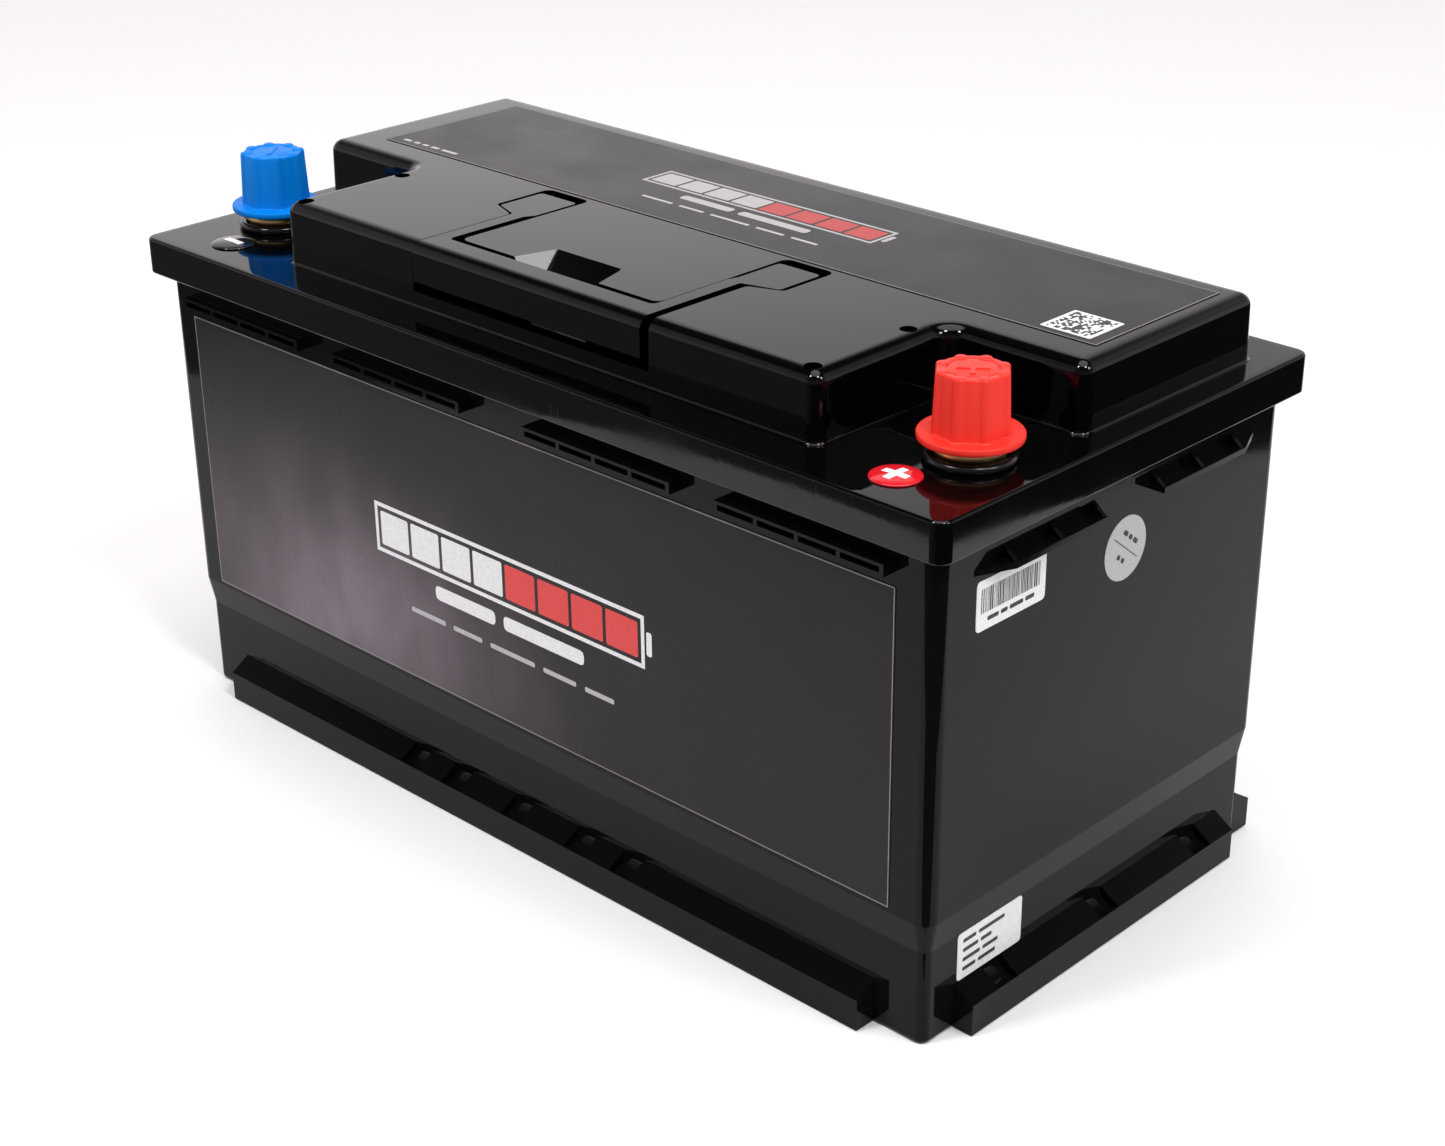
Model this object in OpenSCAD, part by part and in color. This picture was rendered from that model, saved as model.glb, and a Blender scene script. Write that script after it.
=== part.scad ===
// Drop-in lithium battery in a DIN monobloc case: four prismatic cells, a battery
// management system and their wiring inside a moulded case with a folding carry handle.
// Millimetres. The origin is at the centre of the base, +X towards the positive terminal's
// end, -Y towards the side with the terminals and the handle bar, +Z up.

/* [Case] */
// Overall length of the lid and the hold-down ledges
case_l = 353; // [350:1:356]
// Overall width of the lid and the hold-down ledges
case_w = 175; // [174:1:177]
// Height of the raised top above the base
case_h = 190; // [188:1:192]
// Height of the flat shelf that carries the terminals
shelf_h = 169; // [168:0.5:170]
// Height of the lower edge of the lid's skirt
skirt_h = 156.5; // [156:0.5:158]
// Wall thickness of the mouldings
wall = 3; // [2.5:0.5:3.5]
// Inset of the upper tub wall from the lid's edge
wall_inset = 5.4; // [5:0.1:6]
// Further inset of the tub wall below the sloped band
foot_inset = 1.8; // [1:0.1:2.5]
// Height where the sloped band starts
band_low = 31; // [29:1:33]
// Height where the sloped band ends
band_high = 41; // [39:1:43]

/* [Hold-down ledges] */
// Height of the ledge's upright outer face
ledge_face_h = 10.3; // [9:0.1:11]
// Height where the ledge's sloped top meets the wall
ledge_top_h = 14.9; // [14:0.1:16]
// Length of the front ledge
ledge_front = 300.6; // [290:0.2:310]
// Length of the rear ledge, which runs to the corners
ledge_rear = 338; // [330:0.2:338]
// Length of the two end ledges
ledge_short = 133.4; // [125:0.2:140]
// Width of the scoops in the ledges
scoop_w = 9; // [7:0.5:11]
// Radius of the scoops in the ledges
scoop_r = 4.6; // [4:0.1:5]

/* [Raised top] */
// Length of the rear block
rear_l = 334; // [330:1:338]
// Y of the rear block's front face
rear_front_y = -15; // [-17:1:-13]
// Y of the rear block's back face
rear_back_y = 70; // [68:1:72]
// Length of the front block
front_l = 236; // [230:1:240]
// Y of the front block's front face
front_y = -71; // [-72:0.5:-70]
// Radius of the soft edges of the raised top
edge_r = 4.5; // [3:0.5:5]

/* [Carry handle] */
// Width of the bar, front to back
bar_w = 10.8; // [10:0.2:11.6]
// Height of the bar
bar_h = 12.6; // [11:0.2:13]
// Width of each arm
arm_w = 5.2; // [4.6:0.2:5.6]
// Thickness of each arm
arm_h = 9; // [8:0.5:10]
// Distance between the outer faces of the arms
handle_l = 101.6; // [100:0.2:102]
// Offset of the bar and arms from the middle of the slot
arm_offset = -1.5; // [-1.6:0.1:0]
// Distance between the outer faces of the hinge pads
pad_span = 124.4; // [122:0.2:125]
// Radius of the hinge pins
pin_r = 2.5; // [2:0.1:3]
// Y of the hinge axis
hinge_y = -12.5; // [-13:0.5:-12.5]
// Height of the hinge axis
hinge_h = 183; // [182.5:0.5:183.5]

/* [Terminals] */
// Distance of each terminal from the middle, along X
terminal_x = 153.5; // [150:0.5:155]
// Y of both terminals
terminal_y = -48; // [-50:0.5:-46]
// Radius of the positive post at its foot
positive_r = 9.75; // [9.7:0.05:9.8]
// Radius of the negative post at its foot
negative_r = 8.95; // [8.9:0.05:9]
// Height of the terminal caps' tops above the base
cap_top_h = 195.5; // [195:0.5:197]

/* [Cells] */
// Length of a cell
cell_l = 160; // [155:1:161]
// Thickness of a cell
cell_t = 50; // [48:1:51]
// Height of a cell's can
cell_h = 118; // [112:1:120]
// Y of the middle of the cell pack
pack_y = -12; // [-13:1:-10]
// Distance between a cell's two studs
stud_gap = 120; // [110:1:124]

/* [Hidden] */
$fn = 64;
eps = 0.01;
half_l = case_l / 2;
half_w = case_w / 2;
corner_r = 4.5;
tub_corner_r = 5;

// Tub
tub_l = case_l - 2 * wall_inset;
tub_w = case_w - 2 * wall_inset;
foot_l = tub_l - 2 * foot_inset;
foot_w = tub_w - 2 * foot_inset;
plate_low = shelf_h - wall;
rim_h = 7;
rim_gap = 0.3;
skirt_t = wall;
ledge_long_scoops = [-51, -30, 0, 30, 51];
ledge_short_scoops = [-50, 0, 50];

// Rails under the lid
rail_h = 3.7;
rail_low = 147.8;
rail_l = 62.5;
rail_centres = [-125.5, -45.5, 45.5, 125.5];
rail_proud = wall_inset - 0.2;
pocket_count = 4;
pocket_gap = 1.5;
pocket_h = 1.8;
pocket_depth = 2.6;
end_rail_h = 1.8;
end_rail_low = 145.6;
end_rail_in = 13.6;
end_rail_out = 55;
end_rail_foot = 67;
end_rib_h = 3.6;
end_rib_t = 1.4;
end_rib_places = [14.3, 34, 54.3];

// Handle slot in the raised top
slot_floor = 174.1;
slot_half = 52.7;
island_half = 43.8;
island_front_y = -58;
pocket_half = 63.9;
pocket_back_y = -2.5;
pocket_front_y = -25.5;
pocket_jog_y = -29.7;
well_wall = 2.5;
finger_front_half = 19.3;
finger_back_half = 14.4;
finger_back_y = -44;
finger_low_half = 12;
finger_low_y = -57.5;
finger_floor = 178;
hole_r = 2.6;
hole_depth = 12;
hole_x = 112;
hole_ys = [-65.8, -25.5];

// Handle
bar_back_y = front_y + bar_w;
pad_back_y = -7.2;
pad_front_y = -25.4;
pad_jog_y = -28.9;
pad_inner = 45.2;
barrel_r = 5.5;
pin_clear = 0.05;
pin_in = 41;
pin_out = 66.8;

// Terminals
collar_r = 10.5;
collar_top = 175.05;
post_taper = 0.9;
post_top = 190;
post_shoulder = 161;
stud_r8 = 4;
stud_low = 149;
seal_r = 1.3;
seal_mid_r = collar_r + seal_r + 0.1;
cap_low = 175.1;
cap_brim_h = 2.2;
cap_brim_r = 15;
cap_low_r = 11.6;
cap_high_r = 10.7;
cap_wall_top = 2;
cap_clear = 0.25;
rib_count = 8;
rib_r = 1.9;
rib_proud = 0.9;
rib_lift = 1;
rib_rise = 0.7;
rib_lean = 2.6;
rib_turn = 15.6;

// Labels
label_t = 0.2;
front_label_l = 316;
front_label_low = 42.4;
front_label_high = 143.4;
top_label_l = 311;
top_label_w = 62;
top_label_y = 30.3;
top_label_x = 4;

// Cells and pack
base_pad_h = 2;
cell_low = wall + base_pad_h;
cell_top = cell_low + cell_h;
cell_r = 3;
row_gap = 1;
column_gap = 1.5;
cell_x = (cell_l + column_gap) / 2;
cell_y = (cell_t + row_gap) / 2;
cell_places = [[-cell_x, pack_y - cell_y], [-cell_x, pack_y + cell_y],
               [cell_x, pack_y + cell_y], [cell_x, pack_y - cell_y]];
stud_places = [for (place = cell_places, side = [-1, 1]) [place[0] + side * stud_gap / 2, place[1]]];
inner_stud_x = cell_x - stud_gap / 2;
outer_stud_x = cell_x + stud_gap / 2;
front_row_y = pack_y - cell_y;
rear_row_y = pack_y + cell_y;
block_l = 2 * cell_l + column_gap;
block_w = 2 * cell_t + row_gap;
pad_h = 3;
bus_low = cell_top + pad_h;
bus_t = 2;
bus_w = 20;
washer_t = 0.8;
stud_r6 = 3;
stud_top = cell_top + 14;
nut_h = 4.5;
strap_h = 16;
strap_t = 0.6;
strap_clear = 0.15;
foam_gap = 1.2;
foam_clear = 0.6;
foam_top = 112;
foam_l = foot_l / 2 - wall - foam_clear;
foam_w = foot_w / 2 - wall - foam_clear;
block_front = pack_y - block_w / 2 - foam_gap;
block_rear = pack_y + block_w / 2 + foam_gap;
sheet_gap = 0.1;

// Management board
tray_l = 156;
tray_w = 80;
tray_t = 2;
tray_low = 140;
tray_y = -8;
leg_r = 4;
leg_x = 58;
leg_y = 18;
board_l = 130;
board_w = 62;
board_t = 1.6;
board_low = tray_low + tray_t + 3;
board_top = board_low + board_t;
screw_x = board_l / 2 - 5;
screw_y = board_w / 2 - 5;
fet_count = 10;
fet_l = 9;
fet_h = 2.4;
plug_low_x = 20;
plug_high_x = 42;
plug_y = tray_y + 22;
plug_w = 8;
plug_h = 6;

// Wiring
cable_r = 4;
joint_extra = 0.2;
lug_t = 2;
barrel_in = 10;
barrel_out = 20;
lug_wall = 1;
lug_rise = cable_r + lug_wall;
nut_h8 = 5;
pack_minus = [-inner_stud_x, front_row_y, bus_low];
pack_plus = [inner_stud_x, front_row_y, bus_low];
board_minus_in = [-40, tray_y - 19, board_top];
board_minus_out = [-40, tray_y + 18.4, board_top];
plus_lug = [terminal_x, terminal_y, post_shoulder];
minus_lug = [-terminal_x, terminal_y, post_shoulder];
minus_lug_angle = 5;
wire_r = 0.8;
wire_pitch = 4;
plug_z = board_top + 3.5;

// ---- Shared shapes ----

// Rectangle with true round corners, centred on the origin.
module rounded_rect(l, w, r) {
    square([l - 2 * r, w], center = true);
    square([l, w - 2 * r], center = true);
    for (x = [-1, 1], y = [-1, 1])
        translate([x * (l / 2 - r), y * (w / 2 - r)]) circle(r);
}

// Upright plate with round corners, from z = low to z = high.
module rounded_plate(l, w, low, high, r = corner_r) {
    translate([0, 0, low]) linear_extrude(high - low) rounded_rect(l, w, r);
}

// Box between two corners.
module span(low, high) {
    translate(low) cube([high[0] - low[0], high[1] - low[1], high[2] - low[2]]);
}

// Upright section with two round upper corners, from x = low_x to x = high_x.
module soft_section(low_x, high_x, low, high, r) {
    translate([low_x, low]) square([high_x - low_x, high - r - low]);
    translate([low_x + r, low]) square([high_x - low_x - 2 * r, high - low]);
    for (x = [low_x + r, high_x - r]) translate([x, high - r]) circle(r);
}

// Block with soft vertical and upper edges.
module soft_block(half_length, y_low, y_high, low, high, r) {
    intersection() {
        translate([0, (y_low + y_high) / 2, 0])
            rounded_plate(2 * half_length, y_high - y_low, low, high, r);
        translate([0, y_high + 1, 0]) rotate([90, 0, 0]) linear_extrude(y_high - y_low + 2)
            soft_section(-half_length, half_length, low, high, r);
        along_x(-half_length - 1, half_length + 1) soft_section(y_low, y_high, low, high, r);
    }
}

// Extrusion of a section in the YZ plane from x_low to x_high.
module along_x(x_low, x_high) {
    translate([x_low, 0, 0]) rotate([90, 0, 90]) linear_extrude(x_high - x_low) children();
}

// Rod through a list of points, with a ball at each bend; it is round unless sides is 12 or less.
module rod_path(points, r, sides = 32) {
    for (i = [0 : len(points) - 2]) {
        step = points[i + 1] - points[i];
        flat = norm([step[0], step[1]]);
        translate(points[i])
            rotate([0, atan2(flat, step[2]), atan2(step[1], step[0])])
                cylinder(r = r, h = norm(step), $fn = sides);
    }
    for (i = [1 : len(points) - 2])
        translate(points[i]) sphere(r + joint_extra, $fn = sides);
}

// ---- Case tub ----

// Section through one hold-down ledge: x is the distance out of the wall, y is the height.
// It reaches back through the wall, so that the end of a long ledge meets the round corner.
module ledge_section(depth) {
    polygon([[-wall, 0], [depth, 0], [depth, ledge_face_h], [0, ledge_top_h], [-wall, ledge_top_h]]);
}

// Ledge along X that stands out towards -Y, with its scoops cut into the slope.
module ledge(length, outer, inner, scoops) {
    slope_mid = [(outer + inner) / 2, (ledge_face_h + ledge_top_h) / 2];
    slope_angle = atan2(ledge_top_h - ledge_face_h, outer - inner);
    reach = 1.7;
    difference() {
        translate([-length / 2, -inner, 0])
            rotate([90, 0, 90]) mirror([1, 0]) linear_extrude(length) ledge_section(outer - inner);
        for (x = scoops)
            translate([x - scoop_w / 2, -slope_mid[0] - reach * sin(slope_angle),
                       slope_mid[1] + reach * cos(slope_angle)])
                rotate([0, 90, 0]) cylinder(r = scoop_r, h = scoop_w);
    }
}

// Proud rail along X under the lid, with a row of pockets in its face.
module long_rail(outer, inner) {
    pitch = (rail_l - pocket_gap) / pocket_count;
    difference() {
        span([-rail_l / 2, -outer, rail_low], [rail_l / 2, -inner + eps, rail_low + rail_h]);
        for (i = [0 : pocket_count - 1])
            translate([-rail_l / 2 + pocket_gap + i * pitch, -outer - eps,
                       rail_low + (rail_h - pocket_h) / 2])
                cube([pitch - pocket_gap, pocket_depth, pocket_h]);
    }
}

// Shelf on an end wall with slanted outer end and three gusset ribs; side is its Y direction.
module end_rail(side, outer, inner) {
    translate([0, 0, end_rail_low]) linear_extrude(end_rail_h)
        polygon([[inner - eps, side * end_rail_in], [outer, side * end_rail_in],
                 [outer, side * end_rail_out], [inner - eps, side * end_rail_foot]]);
    for (y = end_rib_places)
        translate([0, side * y + end_rib_t / 2, end_rail_low + end_rail_h - eps])
            rotate([90, 0, 0]) linear_extrude(end_rib_t)
                polygon([[inner - eps, 0], [outer - 0.6, 0], [inner - eps, end_rib_h]]);
}

// Sloped band of the tub between two plates whose round corners share their centres.
module tub_band(g) {
    x = tub_l / 2 + g;
    y = tub_w / 2 + g;
    r = tub_corner_r + g;
    rise = band_high - band_low;
    centre_x = x - r;
    centre_y = y - r;
    translate([0, centre_y, band_low]) rotate([90, 0, 0]) linear_extrude(2 * centre_y)
        polygon([[-x + foot_inset, 0], [x - foot_inset, 0], [x, rise], [-x, rise]]);
    translate([-centre_x, 0, band_low]) rotate([90, 0, 90]) linear_extrude(2 * centre_x)
        polygon([[-y + foot_inset, 0], [y - foot_inset, 0], [y, rise], [-y, rise]]);
    for (i = [-1, 1], j = [-1, 1])
        translate([i * centre_x, j * centre_y, band_low])
            cylinder(r1 = r - foot_inset, r2 = r, h = rise);
}

// Body of the tub: foot, sloped band and upper wall, grown by g on every side.
module tub_body(low, high, g) {
    r = tub_corner_r + g;
    rounded_plate(foot_l + 2 * g, foot_w + 2 * g, low, band_low, r - foot_inset);
    tub_band(g);
    rounded_plate(tub_l + 2 * g, tub_w + 2 * g, band_high, high, r);
}

module case_tub() color("#1c1b1c") {
    difference() {
        union() {
            tub_body(0, plate_low, 0);
            rounded_plate(case_l - 2 * (skirt_t + rim_gap), case_w - 2 * (skirt_t + rim_gap),
                          plate_low - rim_h, plate_low);
        }
        tub_body(wall, plate_low + 1, -wall);
    }
    ledge(ledge_front, half_w, foot_w / 2, ledge_long_scoops);
    rotate(180) ledge(ledge_rear, half_w, foot_w / 2, ledge_long_scoops);
    for (turn = [0, 180]) rotate(turn) {
        for (x = rail_centres) translate([x, 0, 0])
            long_rail(tub_w / 2 + rail_proud, tub_w / 2);
        rotate(90) ledge(ledge_short, half_l, foot_l / 2, ledge_short_scoops);
        for (side = [-1, 1]) end_rail(side, tub_l / 2 + rail_proud, tub_l / 2);
    }
}

// ---- Lid ----

// Plan of the handle slot with both hinge pockets, grown by g.
module slot_plan(g) {
    translate([-slot_half - g, front_y - 1]) square([2 * (slot_half + g), island_front_y - front_y + 1 + g]);
    for (side = [-1, 1]) scale([side, 1])
        polygon([[island_half - g, island_front_y - 1], [slot_half + g, island_front_y - 1],
                 [slot_half + g, pocket_jog_y - g / 2], [pocket_half + g, pocket_front_y - g / 2],
                 [pocket_half + g, pocket_back_y + g], [island_half - g, pocket_back_y + g]]);
}

// Finger recess behind the bar: its back and end walls slope in on the way down.
module finger_recess(g) {
    front = island_front_y - 2;
    hull() {
        translate([0, 0, case_h]) linear_extrude(1)
            polygon([[-finger_front_half - g, front], [finger_front_half + g, front],
                     [finger_back_half + g, finger_back_y + g],
                     [-finger_back_half - g, finger_back_y + g]]);
        translate([-finger_low_half - g, front, finger_floor - g])
            cube([2 * (finger_low_half + g), finger_low_y + g - front, eps]);
    }
}

// Hollow under the raised top and the shelf, round the wells of the handle.
module lid_hollow() {
    rounded_plate(case_l - 2 * skirt_t, case_w - 2 * skirt_t, skirt_h - 1, plate_low, corner_r - 1);
    difference() {
        union() {
            span([-rear_l / 2 + wall, rear_front_y + wall, plate_low - eps],
                 [rear_l / 2 - wall, rear_back_y - wall, case_h - wall]);
            span([-front_l / 2 + wall, front_y + wall, plate_low - eps],
                 [front_l / 2 - wall, rear_front_y + wall + eps, case_h - wall]);
        }
        translate([0, 0, slot_floor - well_wall]) linear_extrude(case_h) slot_plan(well_wall);
        finger_recess(well_wall);
        for (x = [-1, 1]) {
            for (y = hole_ys) translate([x * hole_x, y, case_h - hole_depth - wall])
                cylinder(r = hole_r + wall, h = hole_depth + wall);
            translate([min(x * pin_in, x * (pin_out + 1)) - eps, hinge_y - 5, hinge_h - 5])
                cube([pin_out + 1 - pin_in, 10, case_h]);
        }
    }
}

// Hole in the shelf for the shank of a post.
module post_hole(x, r) {
    translate([x, terminal_y, plate_low - 1]) cylinder(r = r, h = wall + 2);
}

module lid() color("#1f1e1f") difference() {
    union() {
        rounded_plate(case_l, case_w, skirt_h, shelf_h);
        soft_block(rear_l / 2, rear_front_y, rear_back_y, shelf_h - 1, case_h, edge_r);
        soft_block(front_l / 2, front_y, rear_front_y + 2 * edge_r, shelf_h - 1, case_h, edge_r);
    }
    lid_hollow();
    translate([0, 0, slot_floor]) linear_extrude(case_h) slot_plan(0);
    finger_recess(0);
    post_hole(terminal_x, positive_r - 1);
    post_hole(-terminal_x, negative_r - 1);
    for (x = [-1, 1]) {
        for (y = hole_ys) translate([x * hole_x, y, case_h - hole_depth])
            cylinder(r = hole_r, h = hole_depth + 1);
        translate([x * (pin_in + pin_out) / 2, hinge_y, hinge_h]) rotate([0, 90, 0])
            cylinder(r = pin_r + pin_clear, h = pin_out - pin_in, center = true);
    }
}

// ---- Carry handle ----

// Section of the bar with its soft upper front edge: x is Y of the part, y is Z of the part.
module bar_section() {
    r = edge_r;
    translate([front_y, case_h - bar_h]) square([bar_w, bar_h - r]);
    translate([front_y + r, case_h - bar_h]) square([bar_w - r, bar_h]);
    translate([front_y + r, case_h - r]) circle(r);
}

// Side view of a hinge pad: flat top, round barrel under it.
module pad_section() {
    translate([pad_front_y, case_h - arm_h]) square([pad_back_y - pad_front_y, arm_h]);
    translate([hinge_y - barrel_r, hinge_h]) square([pad_back_y - hinge_y + barrel_r, case_h - hinge_h]);
    translate([hinge_y, hinge_h]) circle(barrel_r);
}

module carry_handle() color("#242324") difference() {
    union() {
        along_x(arm_offset - handle_l / 2, arm_offset + handle_l / 2) bar_section();
        for (side = [-1, 1]) {
            outer = arm_offset + side * handle_l / 2;
            inner = outer - side * arm_w;
            span([min(outer, inner), bar_back_y - 1, case_h - arm_h],
                 [max(outer, inner), pad_jog_y + eps, case_h]);
            translate([0, 0, case_h - arm_h]) linear_extrude(arm_h)
                polygon([[inner, pad_jog_y], [outer, pad_jog_y],
                         [side * pad_span / 2, pad_front_y], [side * pad_inner, pad_front_y]]);
            pad_ends = [side * pad_inner, side * pad_span / 2];
            along_x(min(pad_ends), max(pad_ends)) pad_section();
        }
    }
    for (side = [-1, 1])
        translate([side * (pin_in + pin_out) / 2, hinge_y, hinge_h]) rotate([0, 90, 0])
            cylinder(r = pin_r + pin_clear, h = pin_out - pin_in, center = true);
}

// Hinge pin on one side of the handle.
module handle_pin(side) color("silver")
    translate([side * (pin_in + pin_out) / 2, hinge_y, hinge_h]) rotate([0, 90, 0])
        cylinder(r = pin_r, h = pin_out - pin_in - 0.4, center = true);

module handle_pin_left() handle_pin(-1);
module handle_pin_right() handle_pin(1);

// ---- Terminals ----

// Tapered post on a collar above the lid, with a threaded stud below it.
module post(foot_r) color("goldenrod") rotate_extrude()
    polygon([[0, stud_low], [stud_r8, stud_low], [stud_r8, post_shoulder],
             [foot_r - 1.2, post_shoulder], [foot_r - 1.2, shelf_h], [collar_r, shelf_h],
             [collar_r, collar_top - 0.5], [collar_r - 0.5, collar_top], [foot_r, collar_top],
             [foot_r - post_taper + 0.05, post_top - 1], [foot_r - post_taper - 0.8, post_top],
             [0, post_top]]);

module positive_post() translate([terminal_x, terminal_y, 0]) post(positive_r);
module negative_post() translate([-terminal_x, terminal_y, 0]) post(negative_r);

// Rubber ring that seals a post on the shelf.
module seal() color("#141414")
    translate([0, 0, shelf_h + seal_r + eps]) rotate_extrude() translate([seal_mid_r, 0]) circle(seal_r);

module positive_seal() translate([terminal_x, terminal_y, 0]) seal();
module negative_seal() translate([-terminal_x, terminal_y, 0]) seal();

// Pull-off cap: round brim, tapered body with grip ribs that rise above its top, hollow for the post.
module cap(foot_r) difference() {
    rib_h = (cap_top_h - cap_low - rib_lift - rib_r * sin(rib_lean)) / cos(rib_lean);
    union() {
        translate([0, 0, cap_low]) cylinder(r = cap_brim_r, h = cap_brim_h);
        translate([0, 0, cap_low])
            cylinder(r1 = cap_low_r - rib_proud, r2 = cap_high_r - rib_proud,
                     h = cap_top_h - rib_rise - cap_low);
        for (i = [0 : rib_count - 1]) rotate(rib_turn + i * 360 / rib_count)
            translate([cap_low_r - rib_r, 0, cap_low + rib_lift]) rotate([0, -rib_lean, 0])
                cylinder(r = rib_r, h = rib_h);
    }
    translate([0, 0, cap_low - eps])
        cylinder(r1 = foot_r + cap_clear, r2 = foot_r + cap_clear - post_taper,
                 h = cap_top_h - cap_wall_top - cap_low);
}

module red_cap() color("#e2362c") translate([terminal_x, terminal_y, 0]) cap(positive_r);
module blue_cap() color("#1566b8") translate([-terminal_x, terminal_y, 0]) cap(negative_r);

// ---- Labels and stickers ----

// Thin sheet on the front wall, centred on x.
module front_sheet(x, l, low, high) {
    y = -tub_w / 2;
    span([x - l / 2, y - label_t, low], [x + l / 2, y, high]);
}

// Round-cornered sheet on the end wall at +X; inset is the wall's distance in from the upper wall.
module end_sheet(y_low, y_high, low, high, inset, r) {
    translate([tub_l / 2 - inset, (y_low + y_high) / 2, (low + high) / 2])
        rotate([90, 0, 90]) linear_extrude(label_t) rounded_rect(y_high - y_low, high - low, r);
}

module front_label() color("#4a464c") front_sheet(-1, front_label_l, front_label_low, front_label_high);

module top_label() color("#575257")
    translate([top_label_x, top_label_y, case_h]) linear_extrude(label_t)
        square([top_label_l, top_label_w], center = true);

module plus_sticker() color("#d8202a")
    translate([147, -71.4, shelf_h]) cylinder(r = 7.5, h = label_t);

module minus_sticker() color("#0e0e0e")
    translate([-147, -71.4, shelf_h]) cylinder(r = 7.5, h = label_t);

module barcode_sticker() color("#e6e5e8") end_sheet(-65.5, -35, 128, 143.2, 0, 1.5);

module round_sticker() color("#b9b9b6")
    translate([tub_l / 2, 3, 130.5]) rotate([0, 90, 0]) cylinder(r = 10, h = label_t);

module rating_sticker() color("#ecebea") end_sheet(-65.8, -36, 15, 30.8, foot_inset, 1.2);

module square_code_sticker() color("#f4f4f4")
    translate([146.4, 10.6, case_h + label_t]) linear_extrude(label_t) square([17.6, 17], center = true);

// ---- Cells ----

// One prismatic cell's can with its raised lid seam.
module cell_can(index) color("#2f63a8") translate([cell_places[index][0], cell_places[index][1], 0]) {
    rounded_plate(cell_l, cell_t, cell_low, cell_top - 1, cell_r);
    rounded_plate(cell_l - 2, cell_t - 2, cell_top - 1, cell_top, cell_r - 1);
}

module cell_1() cell_can(0);
module cell_2() cell_can(1);
module cell_3() cell_can(2);
module cell_4() cell_can(3);

module cell_terminals() color("silver")
    for (place = stud_places) translate([place[0], place[1], cell_top])
        linear_extrude(pad_h) difference() {
            rounded_rect(22, 22, 3);
            circle(stud_r6 + 0.1);
        }

module cell_vents() color("#c9ccd2")
    for (place = cell_places) translate([place[0], place[1], cell_top])
        linear_extrude(0.4) rounded_rect(26, 12, 5.9);

module cell_studs() color("#c0c4c8")
    for (place = stud_places) translate([place[0], place[1], cell_top])
        cylinder(r = stud_r6, h = stud_top - cell_top);

module stud_washers() color("#d0d0d0")
    for (place = stud_places) translate([place[0], place[1], bus_low + bus_t])
        linear_extrude(washer_t) difference() {
            circle(6);
            circle(stud_r6 + 0.15);
        }

module stud_nuts() color("#b8bcc0")
    for (place = stud_places) translate([place[0], place[1], bus_low + bus_t + washer_t])
        linear_extrude(nut_h) difference() {
            circle(5.6, $fn = 6);
            circle(stud_r6 + 0.05);
        }

// Copper link between two studs.
module busbar(a, b) color("#c9793f") translate([0, 0, bus_low]) linear_extrude(bus_t) difference() {
    translate((a + b) / 2)
        rounded_rect(abs(a[0] - b[0]) + bus_w, abs(a[1] - b[1]) + bus_w, 3);
    for (place = [a, b]) translate(place) circle(stud_r6 + 0.3);
}

module busbar_left() busbar([-outer_stud_x, front_row_y], [-outer_stud_x, rear_row_y]);
module busbar_rear() busbar([-inner_stud_x, rear_row_y], [inner_stud_x, rear_row_y]);
module busbar_right() busbar([outer_stud_x, front_row_y], [outer_stud_x, rear_row_y]);

// Insulating sheets between the cells: the long one runs between the rows.
module row_separator() color("#d9c9a0")
    span([-block_l / 2, pack_y - row_gap / 2 + sheet_gap, cell_low + 1],
         [block_l / 2, pack_y + row_gap / 2 - sheet_gap, cell_top - 2]);

module column_separator() color("#d9c9a0")
    for (y = [front_row_y, rear_row_y])
        span([-column_gap / 2 + sheet_gap, y - cell_t / 2 + 0.5, cell_low + 1],
             [column_gap / 2 - sheet_gap, y + cell_t / 2 - 0.5, cell_top - 2]);

// Band round the cell block.
module strap(low) color("#2a6f3a") translate([0, pack_y, 0]) difference() {
    rounded_plate(block_l + 2 * (strap_clear + strap_t), block_w + 2 * (strap_clear + strap_t),
                  low, low + strap_h, cell_r + strap_t);
    rounded_plate(block_l + 2 * strap_clear, block_w + 2 * strap_clear, low - 1, low + strap_h + 1, cell_r);
}

module strap_lower() strap(22);
module strap_upper() strap(92);

// ---- Foam ----

module foam_base() color("#3a3a3c")
    span([-foam_l, -foam_w, wall], [foam_l, foam_w, cell_low - 0.05]);

module foam_front() color("#3a3a3c")
    span([-foam_l + 8, -foam_w, cell_low], [foam_l - 8, block_front, foam_top]);

module foam_rear() color("#3a3a3c")
    span([-foam_l + 8, block_rear, cell_low], [foam_l - 8, foam_w, foam_top]);

module foam_left() color("#3a3a3c")
    span([-foam_l, block_front + 4, cell_low], [-block_l / 2 - foam_gap, block_rear - 4, foam_top]);

module foam_right() color("#3a3a3c")
    span([block_l / 2 + foam_gap, block_front + 4, cell_low], [foam_l, block_rear - 4, foam_top]);

// ---- Management system ----

// Plate on four legs that stand on the cells, with four screw posts for the board.
module bms_tray() color("#202226") translate([0, tray_y, 0]) difference() {
    union() {
        rounded_plate(tray_l, tray_w, tray_low, tray_low + tray_t, 4);
        for (x = [-1, 1], y = [-1, 1]) {
            translate([x * leg_x, y * leg_y, cell_top])
                cylinder(r = leg_r, h = tray_low - cell_top + eps);
            translate([x * screw_x, y * screw_y, tray_low])
                cylinder(r = 3.2, h = board_low - tray_low);
        }
    }
    for (x = [-1, 1], y = [-1, 1])
        translate([x * screw_x, y * screw_y, tray_low - 1]) cylinder(r = 1.4, h = 10);
}

module bms_board() color("#1d6b3c") translate([0, tray_y, board_low]) linear_extrude(board_t) difference() {
    rounded_rect(board_l, board_w, 2);
    for (x = [-1, 1], y = [-1, 1]) translate([x * screw_x, y * screw_y]) circle(1.6);
}

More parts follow.
